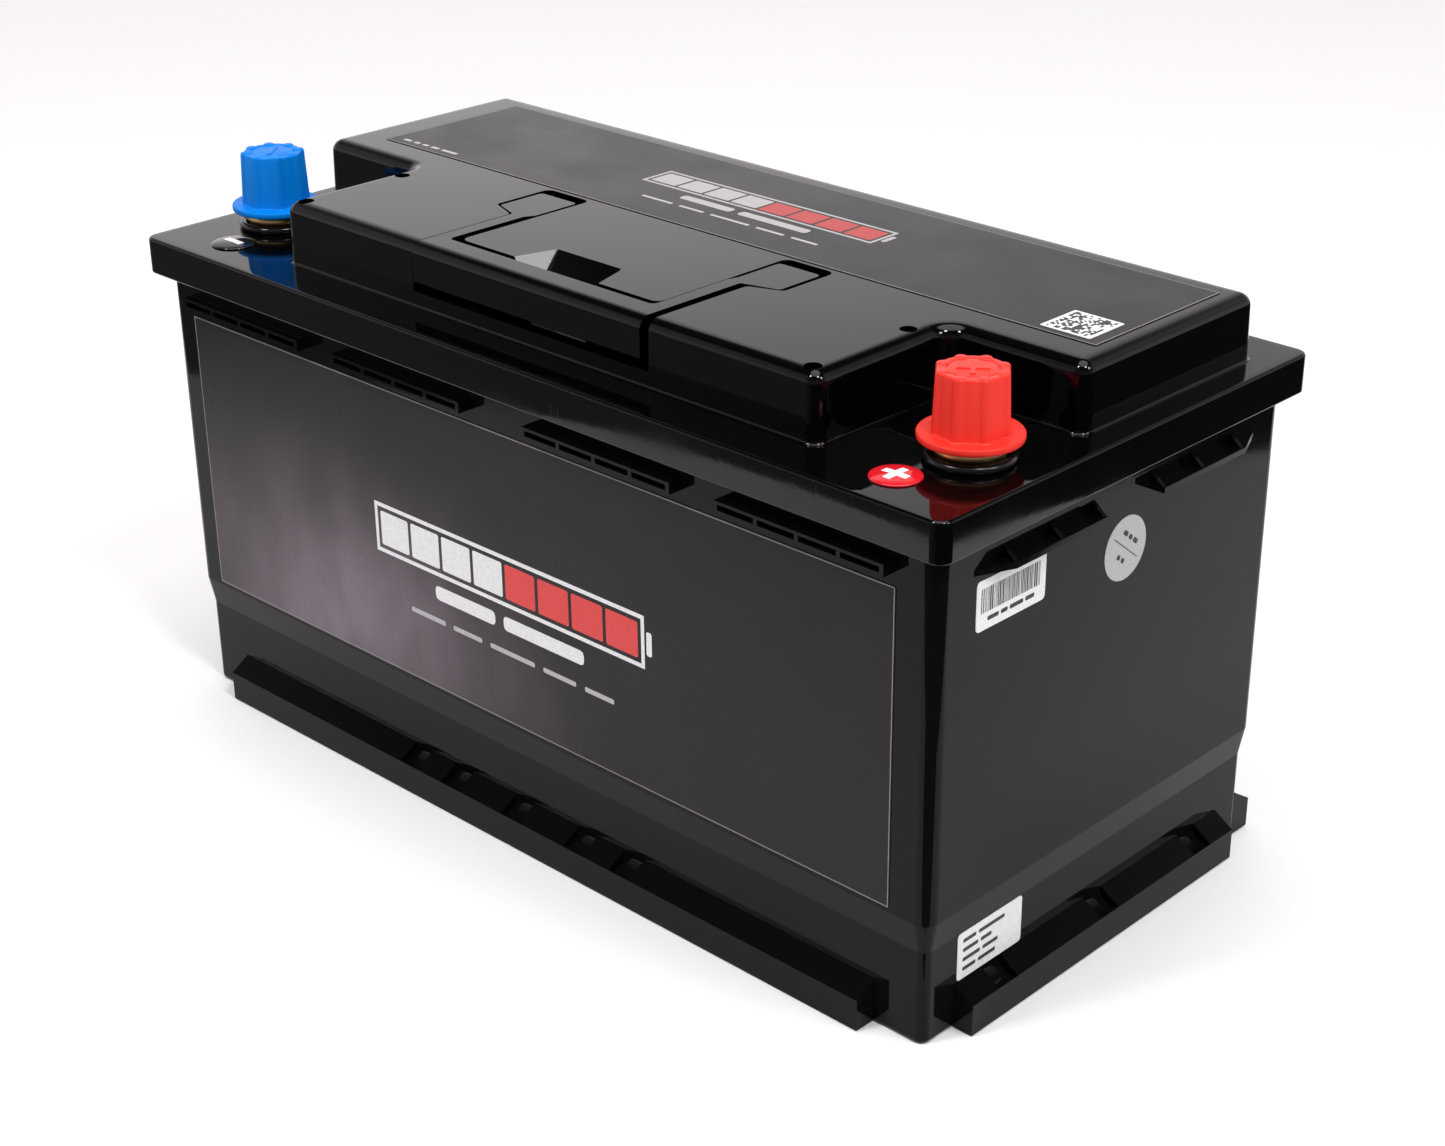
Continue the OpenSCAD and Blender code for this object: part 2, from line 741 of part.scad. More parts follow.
module bms_transistors() color("#1b1b1d")
    for (i = [0 : fet_count - 1])
        translate([-48 + i * 10.2 - fet_l / 2, tray_y - 4, board_top]) cube([fet_l, 11, fet_h]);

// Finned aluminium bar pressed on the transistors.
module bms_heat_sink() color("#b9bdc2") translate([-2, tray_y + 1.5, board_top + fet_h]) {
    span([-52, -6.5, 0], [52, 6.5, 3]);
    for (i = [0 : 3]) span([-52, -6.5 + i * 3.9, 3 - eps], [52, -5.2 + i * 3.9, 9]);
}

// Socket for the sense wires, open towards the rear.
module bms_connector() color("#f0efe8") difference() {
    span([plug_low_x, plug_y, board_top], [plug_high_x, plug_y + plug_w, board_top + plug_h]);
    span([plug_low_x + 1, plug_y + 1.5, board_top + 2],
         [plug_high_x - 1, plug_y + plug_w + 1, board_top + 5]);
}

// Board screws at the corners and the two bolts that hold the cable lugs.
module bms_screws() color("silver") {
    translate([0, tray_y, 0]) for (x = [-1, 1], y = [-1, 1]) translate([x * screw_x, y * screw_y, 0]) {
        translate([0, 0, board_top]) cylinder(r = 2.6, h = 1.8);
        translate([0, 0, tray_low + 0.5]) cylinder(r = 1.25, h = board_top - tray_low - 0.4);
    }
    for (place = [board_minus_in, board_minus_out]) translate(place) {
        translate([0, 0, lug_t]) cylinder(r = 5, h = 3, $fn = 6);
        cylinder(r = stud_r6 - 0.1, h = lug_t + 0.5);
    }
}

// ---- Wiring ----

// Sense wire: up from its start, back to its lane, along the lane, up and into the socket.
module sense_wire(start, level, lane_y, pin) {
    x = plug_low_x + 3 + pin * wire_pitch;
    rod_path([start, [start[0], start[1], level], [start[0], lane_y, level],
              [x, lane_y, level], [x, lane_y, plug_z], [x, plug_y + 2, plug_z]], wire_r);
}

module balance_wires() color("#c23a3a") {
    top = bus_low + bus_t;
    sense_wire([-inner_stud_x - 8, front_row_y, top], top + 10, 37, 0);
    sense_wire([-outer_stud_x, rear_row_y + 7.2, top], top + 3, 40.2, 1);
    sense_wire([0, rear_row_y + 7, top], top + 6.5, 43.4, 2);
    sense_wire([outer_stud_x, rear_row_y + 7.2, top], top + 3, 40.2, 3);
    sense_wire([inner_stud_x + 8, front_row_y, top], top + 10, 37, 4);
}

// Bead on a cell and its wire to the board.
module temperature_probe() color("#222222") {
    bead = [-48, rear_row_y, cell_top + 2];
    translate(bead) sphere(2, $fn = 32);
    rod_path([bead + [0, 0, 1], [-48, 35, 134], [-30, 35, board_top + 3],
              [-30, tray_y + 28, board_top + 3], [-30, tray_y + 28, board_top]], wire_r);
}

// Point in the middle of a lug's barrel, d away from its hole; rise is -1 for a lug that hangs.
function lug_point(place, angle, d, rise = 1) =
    place + [d * cos(angle), d * sin(angle), rise * lug_rise];

module positive_cable() color("#c3201e")
    rod_path([lug_point(pack_plus, 0, barrel_in + 2), lug_point(pack_plus, 0, 66),
              lug_point(plus_lug, 175, 30, -1), lug_point(plus_lug, 175, barrel_in + 2, -1)], cable_r);

module cell_negative_cable() color("#1a1a1a")
    rod_path([lug_point(pack_minus, 180, barrel_in + 2), lug_point(pack_minus, 180, 62),
              [-91, front_row_y + 4, bus_low + 16], lug_point(board_minus_in, 180, 42),
              lug_point(board_minus_in, 180, barrel_in + 2)], cable_r);

module output_negative_cable() color("#1a1a1a")
    rod_path([lug_point(board_minus_out, 180, barrel_in + 2), lug_point(board_minus_out, 180, 62),
              lug_point(minus_lug, minus_lug_angle, 32, -1),
              lug_point(minus_lug, minus_lug_angle, barrel_in + 2, -1)], cable_r, 12);

// Ring lug that lies on z = 0: flat palm with a hole, crimped barrel along +X.
module lug(hole) {
    linear_extrude(lug_t) difference() {
        union() {
            circle(hole + 4);
            translate([0, -4.5]) square([barrel_in + 1, 9]);
        }
        circle(hole + 0.2);
    }
    translate([barrel_in, 0, lug_rise]) rotate([0, 90, 0]) difference() {
        cylinder(r = cable_r + lug_wall, h = barrel_out - barrel_in);
        translate([0, 0, 1]) cylinder(r = cable_r + 0.05, h = barrel_out);
    }
}

module cable_lugs() color("#c8cacb") {
    translate(pack_plus) lug(stud_r6);
    translate(pack_minus) rotate(180) lug(stud_r6);
    translate(board_minus_in) rotate(180) lug(stud_r6);
    translate(board_minus_out) rotate(180) lug(stud_r6);
    translate(plus_lug) rotate(175) mirror([0, 0, 1]) lug(stud_r8);
    translate(minus_lug) rotate(minus_lug_angle) mirror([0, 0, 1]) lug(stud_r8);
}

module terminal_nuts() color("silver")
    for (x = [-1, 1]) translate([x * terminal_x, terminal_y, post_shoulder - lug_t - nut_h8])
        linear_extrude(nut_h8) difference() {
            circle(7.5, $fn = 6);
            circle(stud_r8 + 0.05);
        }

case_tub();
lid();
carry_handle();
handle_pin_left();
handle_pin_right();
positive_post();
negative_post();
positive_seal();
negative_seal();
red_cap();
blue_cap();
front_label();
top_label();
plus_sticker();
minus_sticker();
barcode_sticker();
round_sticker();
rating_sticker();
square_code_sticker();
cell_1();
cell_2();
cell_3();
cell_4();
cell_terminals();
cell_vents();
cell_studs();
stud_washers();
stud_nuts();
busbar_left();
busbar_rear();
busbar_right();
row_separator();
column_separator();
strap_lower();
strap_upper();
foam_base();
foam_front();
foam_rear();
foam_left();
foam_right();
bms_tray();
bms_board();
bms_transistors();
bms_heat_sink();
bms_connector();
bms_screws();
balance_wires();
temperature_probe();
positive_cable();
cell_negative_cable();
output_negative_cable();
cable_lugs();
terminal_nuts();
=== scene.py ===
"""Blender scene of a drop-in lithium battery in a DIN monobloc case.

Lengths in the shape tables are millimetres in the frame of the CAD model: the origin is at the
centre of the base, +X towards the positive terminal, -Y towards the terminal side, +Z up.
"""
import math
import random

import bmesh
import bpy
from mathutils import Euler, Matrix, Vector

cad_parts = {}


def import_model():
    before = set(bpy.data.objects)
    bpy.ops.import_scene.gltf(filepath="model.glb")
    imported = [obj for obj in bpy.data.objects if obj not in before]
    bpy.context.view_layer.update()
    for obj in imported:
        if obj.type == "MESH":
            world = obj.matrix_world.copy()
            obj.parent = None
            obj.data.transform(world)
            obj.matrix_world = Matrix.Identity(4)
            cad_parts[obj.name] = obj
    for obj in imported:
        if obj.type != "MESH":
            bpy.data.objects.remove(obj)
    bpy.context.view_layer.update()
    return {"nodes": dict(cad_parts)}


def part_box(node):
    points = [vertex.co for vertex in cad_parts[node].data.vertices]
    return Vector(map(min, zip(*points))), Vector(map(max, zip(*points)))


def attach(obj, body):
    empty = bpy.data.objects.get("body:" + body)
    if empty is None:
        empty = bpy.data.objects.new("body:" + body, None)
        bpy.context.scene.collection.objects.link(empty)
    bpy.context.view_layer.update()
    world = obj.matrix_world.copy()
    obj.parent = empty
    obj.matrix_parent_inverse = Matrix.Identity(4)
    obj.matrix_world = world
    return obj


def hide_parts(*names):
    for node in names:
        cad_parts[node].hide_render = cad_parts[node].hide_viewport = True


MM = 0.001
BODY = "battery"

# Camera: eye in metres, angles in degrees, focal length in mm on a 36 mm sensor.
CAMERA_EYE = (0.54094, -0.54208, 0.43093)
CAMERA_AZIMUTH = 42.42
CAMERA_ELEVATION = 25.31
CAMERA_ROLL = 0.22
CAMERA_LENS = 62.25
CAMERA_SHIFT = (-0.0504, -0.0012)

# Round sheet that the glossy plastic reflects, in metres and degrees. Its rim runs along the
# arc, and the notch closes it, which leaves its near corner out.
TABLE_CENTRE = (-0.114, 0.141)
TABLE_RADIUS = 0.514
TABLE_ARC = (-28, 306)
TABLE_NOTCH = (0.19, -0.10)

# Case mouldings; corner lists hold (x, y, radius)
TUB_INSET = 5.4
TUB_CORNER = 5.0
LID_CORNER = 4.5
WALL = 3.0
BAND_LOW = 31.0
BAND_HIGH = 41.0
FOOT_INSET = 1.8
SHELF_TOP = 169.0
SKIRT_BOTTOM = 156.5
RIM_TOP = 166.0
DECK_TOP = 190.0
DECK_CORNERS = [
    (-118, -71, 4.5), (118, -71, 4.5), (118, -15, 5), (167, -15, 4.5),
    (167, 70, 4.5), (-167, 70, 4.5), (-167, -15, 4.5), (-118, -15, 5),
]
DECK_EDGE = 4.2
SLOT_FLOOR = 174.1
SLOT_CORNERS = [
    (-52.7, -75, 0.5), (52.7, -75, 0.5), (52.7, -29.7, 2), (63.9, -25.5, 2),
    (63.9, -2.5, 3), (43.8, -2.5, 3), (43.8, -58, 3), (-43.8, -58, 3),
    (-43.8, -2.5, 3), (-63.9, -2.5, 3), (-63.9, -25.5, 2), (-52.7, -29.7, 2),
]
HOLE_PLACES = [(-112, -65.8), (112, -65.8), (-112, -25.5), (112, -25.5)]
HOLE_RADIUS = 2.6
HOLE_DEPTH = 12.0

# Ledges and rails; each ledge is (length, outer face, inner edge, places of its scoops)
LEDGE_FACE = 10.3
LEDGE_TOP = 14.9
SCOOP_WIDTH = 9.0
SCOOP_RADIUS = 4.6
SCOOP_REACH = 1.7
FRONT_LEDGE = (300.6, 87.5, 80.3, [-51, -30, 0, 30, 51])
REAR_LEDGE = (338.0, 87.5, 80.3, [-51, -30, 0, 30, 51])
END_LEDGE = (133.4, 176.5, 169.3, [-50, 0, 50])
RAIL_CENTRES = [-125.5, -45.5, 45.5, 125.5]
RAIL_LENGTH = 62.5
RAIL_BOTTOM = 147.8
RAIL_HEIGHT = 3.7
RAIL_FACE = 87.3
RAIL_BACK = 81.5
RAIL_POCKETS = 4
END_RAIL_BACK = 170.5
END_RAIL_FACE = 176.3
END_RAIL_BOTTOM = 145.6
END_RAIL_TOP = 147.4
END_RIBS = (14.3, 34.0, 54.3)

# Carry handle
HANDLE_CORNERS = [
    (-52.3, -71, 0.1), (49.3, -71, 0.1), (49.3, -28.9, 1.0), (62.2, -25.4, 1.2),
    (62.2, -7.2, 1.6), (45.2, -7.2, 1.6), (45.2, -25.4, 0.8), (44.1, -28.9, 0.8),
    (44.1, -60.2, 2.0), (-47.1, -60.2, 2.0), (-47.1, -28.9, 0.8), (-45.2, -25.4, 0.8),
    (-45.2, -7.2, 1.6), (-62.2, -7.2, 1.6), (-62.2, -25.4, 1.2), (-52.3, -28.9, 1.0),
]
BAR_BOTTOM = 177.4
BAR_BACK = -60.2
ARM_BOTTOM = 181.0
HINGE_Y = -12.5
HINGE_Z = 183.0
HINGE_PADS = ((-62.2, -45.2), (45.2, 62.2))
BARREL_RADIUS = 5.5
BORE_RADIUS = 2.58

# Terminals
POSITIVE_FOOT = 9.75
NEGATIVE_FOOT = 8.95
STUD_RADIUS = 4.0
STUD_PITCH = 1.25
STUD_THREADS = 9
COLLAR_TOP = 175.0
POST_SHOULDER = 161.0
POST_TOP = 190.0
RIBS = 8
RIB_RADIUS = 1.9
RIB_PROUD = 0.9
RIB_TURN = math.radians(15.6)
SIGN_TURN = math.radians(38.1)
CAP_TOP = 195.5
CAP_LOW = 175.1
BRIM_TOP = 177.3
BRIM_RADIUS = 15.0
CAP_RADIUS = (11.6, 10.7)  # over the ribs, at the bottom and at the top

# Labels and stickers
SHEET = 0.2
BADGE_RADIUS = 7.5


# ---- Outlines and meshes ----

def arc(before, here, after, radius, steps):
    """Points of the arc that rounds the corner at here."""
    way_in = (here - before).normalized()
    way_out = (after - here).normalized()
    turn = math.atan2(way_in.x * way_out.y - way_in.y * way_out.x, way_in.dot(way_out))
    side = Vector((-way_in.y, way_in.x)) * math.copysign(1.0, turn)
    start = here - way_in * radius * math.tan(abs(turn) / 2)
    centre = start + side * radius
    spoke = start - centre
    return [centre + Matrix.Rotation(turn * k / steps, 2) @ spoke for k in range(steps + 1)]


def outline(corners, inset=0.0, steps=6):
    """Closed outline with round corners, moved in by inset; corners are counter-clockwise."""
    count = len(corners)
    places = [Vector(corner[:2]) for corner in corners]
    moved = []
    signs = []
    for i in range(count):
        way_in = (places[i] - places[i - 1]).normalized()
        way_out = (places[(i + 1) % count] - places[i]).normalized()
        side_in = Vector((-way_in.y, way_in.x))
        side_out = Vector((-way_out.y, way_out.x))
        moved.append(places[i] + (side_in + side_out) * (inset / (1 + side_in.dot(side_out))))
        signs.append(1 if way_in.x * way_out.y > way_in.y * way_out.x else -1)
    points = []
    for i in range(count):
        radius = max(corners[i][2] - signs[i] * inset, 0.05)
        points += arc(moved[i - 1], moved[i], moved[(i + 1) % count], radius, steps)
    return points


def round_path(stations, steps=5):
    """Open path through (across, height, radius) stations, with round bends."""
    places = [Vector(station[:2]) for station in stations]
    points = [places[0]]
    for i in range(1, len(places) - 1):
        if stations[i][2] > 0:
            points += arc(places[i - 1], places[i], places[i + 1], stations[i][2], steps)
        else:
            points.append(places[i])
    return points + [places[-1]]


def rectangle(half_x, half_y, radius, x=0.0, y=0.0):
    """Corners of a rectangle, counter-clockwise."""
    return [(x - half_x, y - half_y, radius), (x + half_x, y - half_y, radius),
            (x + half_x, y + half_y, radius), (x - half_x, y + half_y, radius)]


def stack(corners, path, steps=6):
    """One ring for each (inset, height) of the path."""
    return [[(p.x, p.y, height) for p in outline(corners, inset, steps)] for inset, height in path]


def loft(bm, rings, closed=False):
    """Skin over rings with equal point counts; open skins get a cap at each end."""
    loops = [[bm.verts.new(point) for point in ring] for ring in rings]
    pairs = list(zip(loops, loops[1:]))
    if closed:
        pairs.append((loops[-1], loops[0]))
    for low, high in pairs:
        for i in range(len(low)):
            j = (i + 1) % len(low)
            bm.faces.new((low[i], low[j], high[j], high[i]))
    if not closed:
        bm.faces.new(loops[0][::-1])
        bm.faces.new(loops[-1])


def prism(bm, section, low, high, axis):
    """Straight extrusion of a list of (u, v) points along an axis."""
    place = {
        "X": lambda u, v, w: (w, u, v),
        "Y": lambda u, v, w: (u, w, v),
        "Z": lambda u, v, w: (u, v, w),
    }[axis]
    loft(bm, [[place(u, v, w) for u, v in section] for w in (low, high)])


def block(bm, low, high):
    """Plain box, used as a part of a larger mesh or as a cutter."""
    section = [(low[0], low[1]), (high[0], low[1]), (high[0], high[1]), (low[0], high[1])]
    prism(bm, section, low[2], high[2], "Z")


def turned(bm, centre, path, steps=96, closed=False):
    """Turned shape about a vertical axis through centre; the path holds (radius, height)."""
    rings = []
    for radius, height in path:
        rings.append([(centre[0] + radius * math.cos(math.tau * k / steps),
                       centre[1] + radius * math.sin(math.tau * k / steps), height)
                      for k in range(steps)])
    loft(bm, rings, closed)


def rod(bm, x_low, x_high, y, z, radius, steps=48):
    """Round rod along X."""
    section = [(y + radius * math.cos(math.tau * k / steps),
                z + radius * math.sin(math.tau * k / steps)) for k in range(steps)]
    prism(bm, section, x_low, x_high, "X")


def box_mm(node_name):
    """Low and high corner of a CAD node, in millimetres."""
    low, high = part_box(node_name)
    return [c / MM for c in low], [c / MM for c in high]


def axis_place(node_name):
    """Where the vertical axis of a round CAD node stands, in millimetres."""
    low, high = box_mm(node_name)
    return (low[0] + high[0]) / 2, (low[1] + high[1]) / 2


def to_mesh(bm, name):
    """Mesh in metres from a bmesh in millimetres, with its faces turned outwards."""
    bmesh.ops.recalc_face_normals(bm, faces=bm.faces)
    mesh = bpy.data.meshes.new(name)
    bm.to_mesh(mesh)
    bm.free()
    mesh.transform(Matrix.Scale(MM, 4))
    return mesh


def to_object(mesh, name):
    """New object in the scene that shows the mesh."""
    made = bpy.data.objects.new(name, mesh)
    bpy.context.scene.collection.objects.link(made)
    return made


def add_copy(bm, mesh, matrix):
    """Adds a moved copy of a mesh in metres to a bmesh in millimetres."""
    copy = mesh.copy()
    copy.transform(Matrix.Scale(1 / MM, 4) @ matrix)
    bm.from_mesh(copy)
    bpy.data.meshes.remove(copy)


def bake(obj):
    """Replaces the object's mesh by the result of its modifiers."""
    graph = bpy.context.evaluated_depsgraph_get()
    mesh = bpy.data.meshes.new_from_object(obj.evaluated_get(graph))
    obj.modifiers.clear()
    obj.data = mesh


def carve(obj, bm, operation="DIFFERENCE"):
    """Cuts a bmesh in millimetres out of the object, or joins it on."""
    tool = to_object(to_mesh(bm, "tool"), "tool")
    step = obj.modifiers.new("carve", "BOOLEAN")
    step.operation = operation
    step.solver = "EXACT"
    step.object = tool
    bake(obj)
    bpy.data.objects.remove(tool)


def soften(obj, width, segments=2):
    """Rounds every sharp edge and gives the flat faces clean normals."""
    edge = obj.modifiers.new("soft edges", "BEVEL")
    edge.width = width * MM
    edge.segments = segments
    edge.limit_method = "ANGLE"
    edge.angle_limit = math.radians(32)
    edge.use_clamp_overlap = True
    bake(obj)
    obj.data.shade_smooth()
    normals = obj.modifiers.new("clean normals", "WEIGHTED_NORMAL")
    normals.keep_sharp = True
    bake(obj)


def finish_piece(obj, body, material, slot, *nodes):
    """Gives a piece its material and its CAD body, and hides the CAD nodes it stands for."""
    if not obj.data.materials:
        obj.data.materials.append(material)
    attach(obj, body)
    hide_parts(*nodes)


# ---- Shader helpers ----

def feed(tree, socket, value):
    """Links a node's output to the socket, or sets the socket to a plain value."""
    if isinstance(value, bpy.types.NodeSocket):
        tree.links.new(value, socket)
    else:
        socket.default_value = value


def node(tree, kind, **inputs):
    """New shader node; each keyword sets or links the input of that name."""
    made = tree.nodes.new(kind)
    for name, value in inputs.items():
        feed(tree, made.inputs[name.replace("_", " ")], value)
    return made


def calc(tree, operation, first, second=0.0):
    """Result of a Math node."""
    made = tree.nodes.new("ShaderNodeMath")
    made.operation = operation
    feed(tree, made.inputs[0], first)
    feed(tree, made.inputs[1], second)
    return made.outputs[0]


def remap(tree, value, low, high, to_low, to_high):
    """Value carried from the range low-high to the range to_low-to_high, and held there."""
    made = node(tree, "ShaderNodeMapRange", Value=value, From_Min=low, From_Max=high,
                To_Min=to_low, To_Max=to_high)
    return made.outputs[0]


def mix(tree, factor, first, second):
    """Blend of two colours."""
    made = tree.nodes.new("ShaderNodeMix")
    made.data_type = "RGBA"
    feed(tree, made.inputs[0], factor)
    feed(tree, made.inputs[6], first)
    feed(tree, made.inputs[7], second)
    return made.outputs[2]


def place_of(tree):
    """Position on the piece, in metres of the CAD frame."""
    return tree.nodes.new("ShaderNodeTexCoord").outputs["Object"]


def noise(tree, scale, detail=3.0, stretch=(1, 1, 1)):
    """Noise whose features are about 1 / scale metres wide."""
    where = node(tree, "ShaderNodeMapping", Vector=place_of(tree), Scale=stretch)
    made = node(tree, "ShaderNodeTexNoise", Vector=where.outputs[0], Scale=scale, Detail=detail)
    return made.outputs[0]


def relief(tree, height, depth, below=None):
    """Bump of a height map; depth is in metres."""
    made = node(tree, "ShaderNodeBump", Height=height, Strength=1.0, Distance=depth)
    if below is not None:
        feed(tree, made.inputs["Normal"], below)
    return made.outputs[0]


def surface(name, **inputs):
    """Material with a principled shader, and the tree for the nodes that feed it."""
    material = bpy.data.materials.new(name)
    material.use_nodes = True
    tree = material.node_tree
    shader = tree.nodes["Principled BSDF"]
    for key, value in inputs.items():
        feed(tree, shader.inputs[key.replace("_", " ")], value)
    return material, tree, shader


def scratches(tree, scale, amount):
    """Sparse fine lines in two directions, 0 to amount."""
    one = noise(tree, scale, 2.0, (1, 1, 28))
    two = noise(tree, scale * 0.7, 2.0, (24, 1, 1))
    lines = calc(tree, "MAXIMUM", one, two)
    return remap(tree, lines, 0.70, 0.78, 0.0, amount)


def gloss_plastic(name, colour, low=0.08, high=0.2, peel=0.000004, specks=0.5, shine=0.4):
    """Glossy moulding: smudges, fine scratches, a trace of dust and a slight orange peel."""
    material, tree, shader = surface(name, Specular_IOR_Level=shine)
    smudge = remap(tree, noise(tree, 28, 4), 0.35, 0.7, low, high)
    rough = calc(tree, "ADD", smudge, scratches(tree, 90, 0.12))
    dust = remap(tree, noise(tree, 2600, 1), 0.76, 0.82, 0.0, specks)
    tint = mix(tree, noise(tree, 9, 2), colour, [c * 1.6 + 0.0003 for c in colour[:3]] + [1])
    colour_out = mix(tree, dust, tint, (0.10, 0.10, 0.10, 1))
    feed(tree, shader.inputs["Base Color"], colour_out)
    feed(tree, shader.inputs["Roughness"], rough)
    feed(tree, shader.inputs["Normal"], relief(tree, noise(tree, 420, 2), peel))
    return material


def soft_plastic(name, colour, shade, low=0.34, high=0.5, grain=0.00002, shine=0.5):
    """Satin moulding with colour variation, fine grain and rubbed spots."""
    material, tree, shader = surface(name, Specular_IOR_Level=shine)
    tint = mix(tree, remap(tree, noise(tree, 120, 4), 0.3, 0.7, 0, 1), colour, shade)
    rough = remap(tree, noise(tree, 60, 4), 0.3, 0.7, low, high)
    feed(tree, shader.inputs["Base Color"], tint)
    feed(tree, shader.inputs["Roughness"], rough)
    feed(tree, shader.inputs["Normal"], relief(tree, noise(tree, 1800, 3), grain))
    return material


def metal(name, colour, shade, low=0.2, high=0.38, stretch=(1, 1, 1), grain=0.000008):
    """Metal with tarnish in patches and a grain along one direction."""
    material, tree, shader = surface(name, Metallic=1.0)
    tint = mix(tree, remap(tree, noise(tree, 45, 5), 0.35, 0.75, 0, 1), colour, shade)
    rough = remap(tree, noise(tree, 500, 4, stretch), 0.3, 0.7, low, high)
    feed(tree, shader.inputs["Base Color"], tint)
    feed(tree, shader.inputs["Roughness"], rough)
    feed(tree, shader.inputs["Normal"], relief(tree, noise(tree, 900, 3, stretch), grain))
    return material


def foam_material(name):
    """Dark foam with open cells."""
    material, tree, shader = surface(name, Roughness=0.9)
    cells = node(tree, "ShaderNodeTexVoronoi", Vector=place_of(tree), Scale=700.0).outputs[0]
    tint = mix(tree, cells, (0.02, 0.02, 0.022, 1), (0.07, 0.07, 0.075, 1))
    feed(tree, shader.inputs["Base Color"], tint)
    feed(tree, shader.inputs["Normal"], relief(tree, cells, 0.0004))
    return material


def board_material(name):
    """Green solder mask with paler tracks under it."""
    material, tree, shader = surface(name, Roughness=0.28)
    where = node(tree, "ShaderNodeMapping", Vector=place_of(tree), Scale=(260, 420, 1))
    tracks = node(tree, "ShaderNodeTexBrick", Vector=where.outputs[0], Scale=1.0,
                  Color1=(0.0, 0.0, 0.0, 1), Color2=(0.0, 0.0, 0.0, 1), Mortar=(1, 1, 1, 1),
                  Mortar_Size=0.06)
    tint = mix(tree, tracks.outputs[0], (0.005, 0.10, 0.03, 1), (0.03, 0.22, 0.07, 1))
    feed(tree, shader.inputs["Base Color"], tint)
    feed(tree, shader.inputs["Normal"], relief(tree, tracks.outputs[0], 0.00004))
    return material


def film_material(name, base, smoke, place, spread, peak):
    """Printed satin film: dark ground with drifting smoke; place and spread are in metres."""
    material, tree, shader = surface(name, IOR=1.25)
    where = node(tree, "ShaderNodeMapping", Vector=place_of(tree),
                 Location=[-p / s for p, s in zip(place, spread)], Scale=[1 / s for s in spread])
    away = tree.nodes.new("ShaderNodeVectorMath")
    away.operation = "LENGTH"
    feed(tree, away.inputs[0], where.outputs[0])
    near = calc(tree, "POWER", remap(tree, away.outputs["Value"], 0.1, 1.35, 1.0, 0.0), 1.6)
    wisps = remap(tree, noise(tree, 26, 6, (1.5, 1.0, 0.7)), 0.36, 0.64, 0.62, 1.12)
    cloud = calc(tree, "MULTIPLY", calc(tree, "MULTIPLY", near, wisps), peak)
    tint = mix(tree, cloud, base, smoke)
    grain = remap(tree, noise(tree, 3200, 1), 0.3, 0.7, 0.0, 0.06)
    feed(tree, shader.inputs["Base Color"], mix(tree, grain, tint, (0.09, 0.085, 0.09, 1)))
    feed(tree, shader.inputs["Roughness"], remap(tree, noise(tree, 40, 3), 0.3, 0.7, 0.26, 0.34))
    feed(tree, shader.inputs["Normal"], relief(tree, noise(tree, 1500, 2), 0.000004))
    return material


def ink(name, colour, rough=0.4):
    """Printing ink with slightly uneven cover."""
    material, tree, shader = surface(name, Roughness=rough)
    thin = [c * 0.86 for c in colour[:3]] + [1]
    cover = remap(tree, noise(tree, 1400, 3), 0.35, 0.65, 0, 1)
    feed(tree, shader.inputs["Base Color"], mix(tree, cover, thin, colour))
    feed(tree, shader.inputs["Normal"], relief(tree, noise(tree, 2400, 2), 0.000005))
    return material


